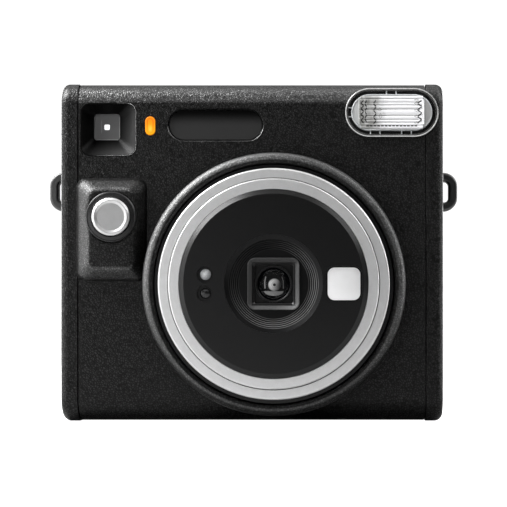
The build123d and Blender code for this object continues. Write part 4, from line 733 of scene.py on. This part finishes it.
def strokes(name, segments, width, front, back, finish, body="casing"):
    """Thin bars between (x, z) points, each with a bevelled front, merged into one piece."""
    verts = []
    faces = []
    for (x0, z0), (x1, z1) in segments:
        along = Vector((x1 - x0, 0, z1 - z0)).normalized()
        across = Vector((-along.z, 0, along.x))
        bevel = front + 0.3 * (back - front)
        section = [(0.5, back), (0.5, bevel), (0.25, front), (-0.25, front), (-0.5, bevel), (-0.5, back)]
        start = len(verts)
        for x, z in ((x0, z0), (x1, z1)):
            for offset, depth in section:
                verts.append((x + across.x * offset * width, depth, z + across.z * offset * width))
        count = len(section)
        end = start + count
        for k in range(count):
            step = (k + 1) % count
            faces.append((start + k, start + step, end + step, end + k))
        faces += [list(range(start, end)), list(range(end, end + count))]
    return make_piece(name, verts, faces, finish, body)


# ---------------------------------------------------------------- flash window
FLASH_HALF_H = (FLASH_HIGH.z - FLASH_LOW.z) / 2
FLASH_STRAIGHT = (FLASH_HIGH.x - FLASH_LOW.x) / 2 - FLASH_HALF_H
RIM_FRONT = FLASH_LOW.y
RIM_WIDTH = 0.95 * MM
LIP_WIDTH = 0.38 * MM       # bright outer lip of the rim; a groove parts it from the inner lip
CENTRE_R = 6.4 * MM
CENTRE_FRONT = RIM_FRONT + 0.1 * MM
WEB_FRONT = RIM_FRONT + 1.8 * MM
WEB_BACK = FLASH_HIGH.y
PRISM_HALF = 10.8 * MM
RIDGE_RISE = 0.30 * MM
MARK_FRONT = CENTRE_FRONT - 0.34 * MM
MARK_BACK = CENTRE_FRONT + 0.1 * MM
VALLEYS = (1.15, 2.54, 3.52, 4.72)      # heights of the valleys between ridges from the middle, in mm
RIDGES_END = 5.75           # height of the last ridge's outer edge from the middle, in mm
RIDGE_STEPS = 8


def flash_pieces(made):
    """Clear cover: double-lipped rim, black channel bridged by ribs, raised centre with ridges."""
    clear = clear_edge()
    outer = FLASH_HALF_H
    inner = outer - RIM_WIDTH
    groove = outer - LIP_WIDTH
    groove_y = RIM_FRONT + 0.45 * MM
    inner_lip_y = RIM_FRONT + 0.25 * MM
    rim = quarter(outer, RIM_FRONT, 0.18 * MM)
    rim += [(groove + 0.1 * MM, RIM_FRONT), (groove, RIM_FRONT + 0.1 * MM),
            (groove - 0.05 * MM, groove_y), (inner + 0.25 * MM, groove_y),
            (inner + 0.2 * MM, inner_lip_y), (inner, inner_lip_y), (inner, WEB_BACK), (outer, WEB_BACK)]
    piece = swept_ring("flash_rim", rim, FLASH, FLASH_STRAIGHT, clear)
    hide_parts("flash_lens")
    floor_in = CENTRE_R - 1.0 * MM
    channel = [(inner, WEB_BACK), (inner, WEB_FRONT), (floor_in, WEB_FRONT), (floor_in, WEB_BACK)]
    swept_ring("flash_channel", channel, FLASH, FLASH_STRAIGHT, made["gloss_black"])
    centre = [(CENTRE_R, WEB_BACK)] + quarter(CENTRE_R, CENTRE_FRONT, 0.4 * MM)
    capped_plate("flash_centre", centre, FLASH, FLASH_STRAIGHT, flash_crescent())
    lip_out, lip_in = (CENTRE_R - 0.05 * MM, CENTRE_R - 0.4 * MM)
    lip_front, lip_back = (CENTRE_FRONT - 0.12 * MM, CENTRE_FRONT + 0.2 * MM)
    lip = [(lip_out, lip_back)] + quarter(lip_out, lip_front, 0.12 * MM)
    lip += [(lip_in, lip_front), (lip_in, lip_back)]
    swept_ring("flash_centre_lip", lip, FLASH, FLASH_STRAIGHT, made["clear_plastic"])
    ends = (FLASH.x - PRISM_HALF, FLASH.x + PRISM_HALF)
    extruded_bar("flash_prisms", prism_section(), *ends, flash_painted_glow(), "clear_plastic")
    flash_ribs(made["clear_plastic"], inner)
    flash_marks(flash_painted_glow("flash_bars", tone=0.95), flash_line("flash_line", 0.006, 0.03),
                flash_line("flash_faint", 0.05, 0.40))


def prism_section():
    """Row of cylinder ridges, the middle one the widest."""
    above = [*VALLEYS, RIDGES_END]
    stops = [z * MM for z in [-z for z in reversed(above)] + above]
    section = []
    for low, high in zip(stops, stops[1:]):
        for k in range(RIDGE_STEPS):
            share = k / RIDGE_STEPS
            rise = RIDGE_RISE * math.sqrt(max(0.0, 1 - (2 * share - 1) ** 2))
            section.append((FLASH.z + low + (high - low) * share, CENTRE_FRONT - rise))
    back = CENTRE_FRONT + 0.5 * MM
    section.append((FLASH.z + stops[-1], CENTRE_FRONT))
    return section + [(FLASH.z + stops[-1], back), (FLASH.z + stops[0], back)]


def flash_ribs(clear, inner):
    """Short clear ribs across the channel: two above, four below, two at the left."""
    bars = []
    for dx in (-1.85, 1.5):
        x = FLASH.x + dx * MM
        bars.append(((x, FLASH.z + CENTRE_R - 0.1 * MM), (x, FLASH.z + inner + 0.1 * MM)))
    for dx in (-7.45, -4.1, 3.5, 6.85):
        x = FLASH.x + dx * MM
        bars.append(((x, FLASH.z - CENTRE_R + 0.1 * MM), (x, FLASH.z - inner - 0.1 * MM)))
    turn_x = FLASH.x - FLASH_STRAIGHT
    for dz in (1.7, -1.5):
        z = FLASH.z + dz * MM
        bars.append(((turn_x - CENTRE_R + 0.1 * MM, z), (turn_x - inner - 0.1 * MM, z)))
    front, back = (RIM_FRONT + 0.35 * MM, WEB_FRONT + 0.1 * MM)
    strokes("flash_ribs", bars, 0.5 * MM, front, back, clear)


def flash_marks(painted_glow, line, faint):
    """Fine moulded lines: ridge valleys, a broken dark line below them, facet columns, end bars."""
    valleys = []
    for z in VALLEYS[:-1]:
        for sign in (-1, 1):
            valleys.append((at_flash(-9.2, sign * z), at_flash(9.4, sign * z)))
    valleys.append((at_flash(-9.2, VALLEYS[-1]), at_flash(9.4, VALLEYS[-1])))
    front = CENTRE_FRONT - 0.14 * MM
    strokes("flash_valley_lines", valleys, 0.28 * MM, front, MARK_BACK, faint)
    dashes = []
    for k in range(14):
        x = -9.0 + k * 1.3
        dashes.append((at_flash(x, -VALLEYS[-1]), at_flash(x + 0.95, -VALLEYS[-1])))
    strokes("flash_dashes", dashes, 0.52 * MM, MARK_FRONT, MARK_BACK, line)
    strokes("flash_facets", column_marks(), 0.50 * MM, MARK_FRONT, MARK_BACK, line)
    rings = []
    for dz in (-3.75, -1.45, 0.75, 3.1, 4.3):
        rings += diamond(8.6, dz, 0.75, 0.55)
    rings += diamond(-4.0, -1.3, 0.6, 0.9) + diamond(-4.3, 1.0, 0.7, 0.5)
    strokes("flash_ovals", rings, 0.16 * MM, MARK_FRONT, MARK_BACK, faint)
    bars = [(at_flash(-11.3, -4.0), at_flash(-11.3, 4.5)), (at_flash(11.0, -4.2), at_flash(11.0, 4.4))]
    strokes("flash_end_bars", bars, 0.55 * MM, MARK_FRONT, MARK_BACK, painted_glow)


def at_flash(dx, dz):
    """A point given in millimetres from the middle of the flash window."""
    return (FLASH.x + dx * MM, FLASH.z + dz * MM)


def diamond(dx, dz, half_w, half_h):
    """Four short strokes round a point, the outline of a small facet."""
    corners = [(dx - half_w, dz), (dx, dz + half_h), (dx + half_w, dz), (dx, dz - half_h)]
    return [(at_flash(*a), at_flash(*b)) for a, b in zip(corners, corners[1:] + corners[:1])]


def column_marks():
    """Dark zigzags in upright columns: three towards the left end, one at the right end."""
    columns = ((-10.8, -9.9, 1.0), (-9.4, -8.9, 1.3), (-6.4, -5.6, 1.2), (9.0, 10.4, 1.15))
    top, height = 4.2, 8.4
    marks = []
    for left, right, pitch in columns:
        for k in range(int(height / pitch)):
            high = top - k * pitch
            start, end = (left, right) if k % 2 else (right, left)
            marks.append((at_flash(start, high), at_flash(end, high - 0.8 * pitch)))
    return marks


# ---------------------------------------------------------------- finder and lens
def rounded_square(half, corner, steps=6):
    """Corner points (x, z) of a rounded square, anticlockwise."""
    points = []
    for k in range(4):
        start = math.pi / 2 * k
        cx = math.copysign(half - corner, math.cos(start + math.pi / 4))
        cz = math.copysign(half - corner, math.sin(start + math.pi / 4))
        for j in range(steps + 1):
            angle = start + math.pi / 2 * j / steps
            points.append((cx + corner * math.cos(angle), cz + corner * math.sin(angle)))
    return points


def square_plate(name, spot, levels, finish):
    """Stacked rounded squares (half side, corner, depth), back to front, both ends capped."""
    verts = []
    for half, corner, depth in levels:
        verts += [(spot.x + x, depth, spot.z + z) for x, z in rounded_square(half, corner)]
    count = len(verts) // len(levels)
    faces = loop_faces(len(levels), count, True)[:(len(levels) - 1) * count]
    faces += [list(range(count)), list(range(len(verts) - count, len(verts)))]
    return make_piece(name, verts, faces, finish)


def finder_pieces():
    """Pane with a raised border, and the bright square seen through its middle."""
    front = PANE_FRONT_Y - 0.05 * MM
    half = 4.75 * MM
    levels = [(half, 1.3 * MM, front + 1.0 * MM), (half, 1.3 * MM, front + 0.1 * MM),
              (half - 0.1 * MM, 1.25 * MM, front), (half - 0.35 * MM, 1.1 * MM, front),
              (half - 0.45 * MM, 1.0 * MM, front + 0.12 * MM)]
    pane = square_plate("finder_pane", FINDER_PANE, levels, finder_grey())
    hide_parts("finder_front_lens")
    levels = [(0.93 * MM, 0.35 * MM, front + 0.1 * MM), (0.9 * MM, 0.35 * MM, front),
              (0.88 * MM, 0.3 * MM, front - 0.02 * MM)]
    square_plate("finder_target", FINDER_PANE, levels, finder_light())


def dome(radius, curve_r, tip_y, steps=8):
    """Profile of a shallow dome from its rim to near its tip."""
    profile = []
    for k in range(steps + 1):
        r = radius * (1 - k / (steps + 0.4))
        profile.append((r, tip_y + curve_r - math.sqrt(curve_r ** 2 - r ** 2)))
    return profile


def lens_pieces(made):
    """Front glass, the black well behind it, the inside element and pieces painted as the glass's bright
    reflections.
    """
    radius = (GLASS_HIGH.x - GLASS_LOW.x) / 2
    tip = GLASS_LOW.y
    rim = [(radius, tip + 1.35 * MM)] + dome(radius, 14 * MM, tip)
    glass = barrel_disc("front_glass", rim, LENS, front_coating())
    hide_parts("front_lens")
    well_y = tip + 2.7 * MM
    front = well_y - 0.9 * MM
    well = [(radius, well_y + 0.2 * MM), (radius, well_y)]
    barrel_disc("lens_well", well, LENS, made["satin_black"])
    element = [(ELEMENT_R, well_y)] + dome(ELEMENT_R, 4.0 * MM, front)
    barrel_disc("inner_element", element, ELEMENT, inner_lens())
    painted_reflection_pieces(front, well_y)


def barrel_disc(name, profile, spot, finish):
    """A round piece that rides on the barrel."""
    return capped_plate(name, profile, spot, 0.0, finish, "barrel", steps=64)


def painted_reflection_pieces(front, back):
    """Painted reflections in the front glass: a bright bar at the left, a thin one at the right, a
    crescent below.
    """
    finish = painted_reflection()
    bars = [((-3.05, -1.5), (-3.15, 0.8), 0.42), ((-3.15, 0.8), (-2.8, 2.6), 0.36),
            ((3.25, -1.6), (3.2, 1.2), 0.2), ((3.2, 1.2), (2.7, 2.6), 0.16)]
    for k, (*ends, width) in enumerate(bars):
        segment = tuple((LENS.x + x * MM, LENS.z + z * MM) for x, z in ends)
        name = f"painted_reflection_bar_{k + 1}"
        strokes(name, [segment], width * MM, front, back, finish, "barrel")
    # The crescent hangs from a level chord; its lower edge is part of an ellipse.
    steps, half, chord, drop, ellipse_half = 16, 3.3, -2.45, 1.55, 3.35
    top = [(-half + 2 * half * k / steps, chord) for k in range(steps + 1)]
    low = [(x, chord - drop * math.sqrt(1 - (x / ellipse_half) ** 2)) for x, _ in reversed(top)]
    ring = top + low
    verts = [(LENS.x + x * MM, y, LENS.z + z * MM) for y in (back, front) for x, z in ring]
    count = len(ring)
    faces = [(k, (k + 1) % count, count + (k + 1) % count, count + k) for k in range(count)]
    faces += [list(range(count)), list(range(count, 2 * count))]
    make_piece("painted_reflection_crescent", verts, faces, finish, "barrel")


def button_coil(finish):
    """Return spring under the button, drawn at its rest length; the coil does not shorten as the button
    goes in.
    """
    low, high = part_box("button_spring")
    seat = Vector(((low.x + high.x) / 2, high.y, (low.z + high.z) / 2))
    wire = 0.3 * MM
    coil_r = (high.x - low.x) / 2 - wire
    length = high.y - low.y
    turn, turns, points = 40, 4, 8      # rings of points in one turn, turns, and points in a ring
    rings = turn * turns
    climb = (length - 2 * wire) / rings
    verts = []
    for k in range(rings + 1):
        angle = 2 * math.pi * k / turn
        outward = Vector((math.cos(angle), 0, math.sin(angle)))
        centre = seat + outward * coil_r - Vector((0, wire + climb * k, 0))
        for j in range(points):
            round_wire = 2 * math.pi * j / points
            rise = Vector((0, wire * math.sin(round_wire), 0))
            verts.append(centre + outward * (wire * math.cos(round_wire)) + rise)
    faces = loop_faces(rings + 1, points, True)[:rings * points]
    faces += [list(range(points)), list(range(len(verts) - points, len(verts)))]
    coil = make_piece("button_coil", verts, faces, finish)
    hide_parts("button_spring")
    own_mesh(coil)


# ---------------------------------------------------------------- stage
FLOOR_HALF = 20.0
BACKDROP = 1.1              # strength of the white that the camera sees
FLOOR_GLOW = 0.03           # strength of the floor in reflections
WORLD_GLOW = 0.003          # strength of the room round the camera
AIM = Vector((0, 0, 60 * MM))
VIEW_FROM = (0.0257, -0.619, 0.0340)
VIEW_SHIFT = (-0.1413, 0.1412)
# name, place, size and power of each softbox; all of them face the middle of the camera's body
STUDIO = [
    ("left_side", (-0.60, 0.08, 0.10), (0.3, 0.5), 1.7),
    ("left_front", (-0.55, -0.30, 0.10), (0.3, 0.5), 1.4),
    ("left_high", (-0.45, -0.10, 0.55), (0.4, 0.4), 10.0),
    ("overhead", (0.00, 0.00, 0.70), (0.8, 0.4), 1.9),
    ("overhead_front", (0.00, -0.60, 0.45), (0.8, 0.2), 0.95),
    ("overhead_back", (0.00, 0.35, 0.60), (0.8, 0.3), 1.3),
    ("right_side", (0.60, 0.05, 0.10), (0.2, 0.4), 1.5),
    ("right_high", (0.50, -0.10, 0.50), (0.3, 0.4), 2.1),
    ("front_left_low", (-0.35, -0.70, 0.03), (0.4, 0.3), 0.8),
    ("back_left", (-0.45, 0.70, 0.20), (0.4, 0.4), 3.5),
    ("back_right", (0.45, 0.70, 0.15), (0.3, 0.4), 2.5),
]


def make_floor():
    """White floor; in reflections it is bright only in a band in front of the object."""
    mesh = bpy.data.meshes.new("floor")
    half = FLOOR_HALF
    corners = [(-half, -half, 0), (half, -half, 0), (half, half, 0), (-half, half, 0)]
    mesh.from_pydata(corners, [], [(0, 1, 2, 3)])
    floor = bpy.data.objects.new("floor", mesh)
    bpy.context.scene.collection.objects.link(floor)
    s = Surface("floor", Roughness=0.8)
    s.set(Base_Color=(0.5, 0.5, 0.5))
    # Painted shadow: in reflections the floor darkens next to the object, as if the body shaded it.
    near = s.remap(s.axis("Y"), -20 * MM, -70 * MM, 0.05, 1.0, smooth=True)
    far = s.remap(s.axis("Y"), -110 * MM, -260 * MM, 1.0, 0.0, smooth=True)
    band = s.times(s.times(near, far), FLOOR_GLOW)
    path = s.add("ShaderNodeLightPath")
    seen = path.outputs["Is Camera Ray"]
    strength = s.plus(s.times(seen, BACKDROP), s.times(s.minus(1.0, seen), band))
    tint = s.mix(s.noise(60.0), (0.985, 0.985, 0.985), (1, 1, 1))
    s.set(Emission_Color=tint, Emission_Strength=strength)
    mesh.materials.append(s.material)
    floor.visible_diffuse = False
    floor.visible_transmission = False


def area_light(name, place, size, power):
    data = bpy.data.lights.new(name, "AREA")
    data.shape = "RECTANGLE"
    data.size, data.size_y = size
    data.energy = power
    light = bpy.data.objects.new(name, data)
    light.location = place
    light.rotation_euler = (AIM - Vector(place)).to_track_quat("-Z", "Y").to_euler()
    bpy.context.scene.collection.objects.link(light)


def make_world():
    """White where the camera sees past the object, nearly dark as a source of light."""
    world = bpy.data.worlds.new("studio")
    world.use_nodes = True
    tree = world.node_tree
    tree.nodes.clear()
    out = tree.nodes.new("ShaderNodeOutputWorld")
    seen = tree.nodes.new("ShaderNodeBackground")
    lit = tree.nodes.new("ShaderNodeBackground")
    pick = tree.nodes.new("ShaderNodeMixShader")
    path = tree.nodes.new("ShaderNodeLightPath")
    lit.inputs["Color"].default_value = (1, 1, 1, 1)
    lit.inputs["Strength"].default_value = WORLD_GLOW
    seen.inputs["Color"].default_value = (1, 1, 1, 1)
    seen.inputs["Strength"].default_value = BACKDROP
    tree.links.new(path.outputs["Is Camera Ray"], pick.inputs[0])
    tree.links.new(lit.outputs[0], pick.inputs[1])
    tree.links.new(seen.outputs[0], pick.inputs[2])
    tree.links.new(pick.outputs[0], out.inputs["Surface"])
    bpy.context.scene.world = world


def make_camera():
    """Level camera that looks along +Y; the shift moves its frame left and up."""
    data = bpy.data.cameras.new("camera")
    data.sensor_width = 36
    data.lens = 121.0
    data.shift_x, data.shift_y = VIEW_SHIFT
    camera = bpy.data.objects.new("camera", data)
    camera.location = VIEW_FROM
    camera.rotation_euler = (math.pi / 2, 0, 0)
    bpy.context.scene.collection.objects.link(camera)
    bpy.context.scene.camera = camera


made = dress_nodes()
flash_pieces(made)
finder_pieces()
lens_pieces(made)
button_coil(made["steel"])
make_floor()
make_world()
for softbox in STUDIO:
    area_light(*softbox)
make_camera()
bpy.context.scene.view_settings.view_transform = "Standard"
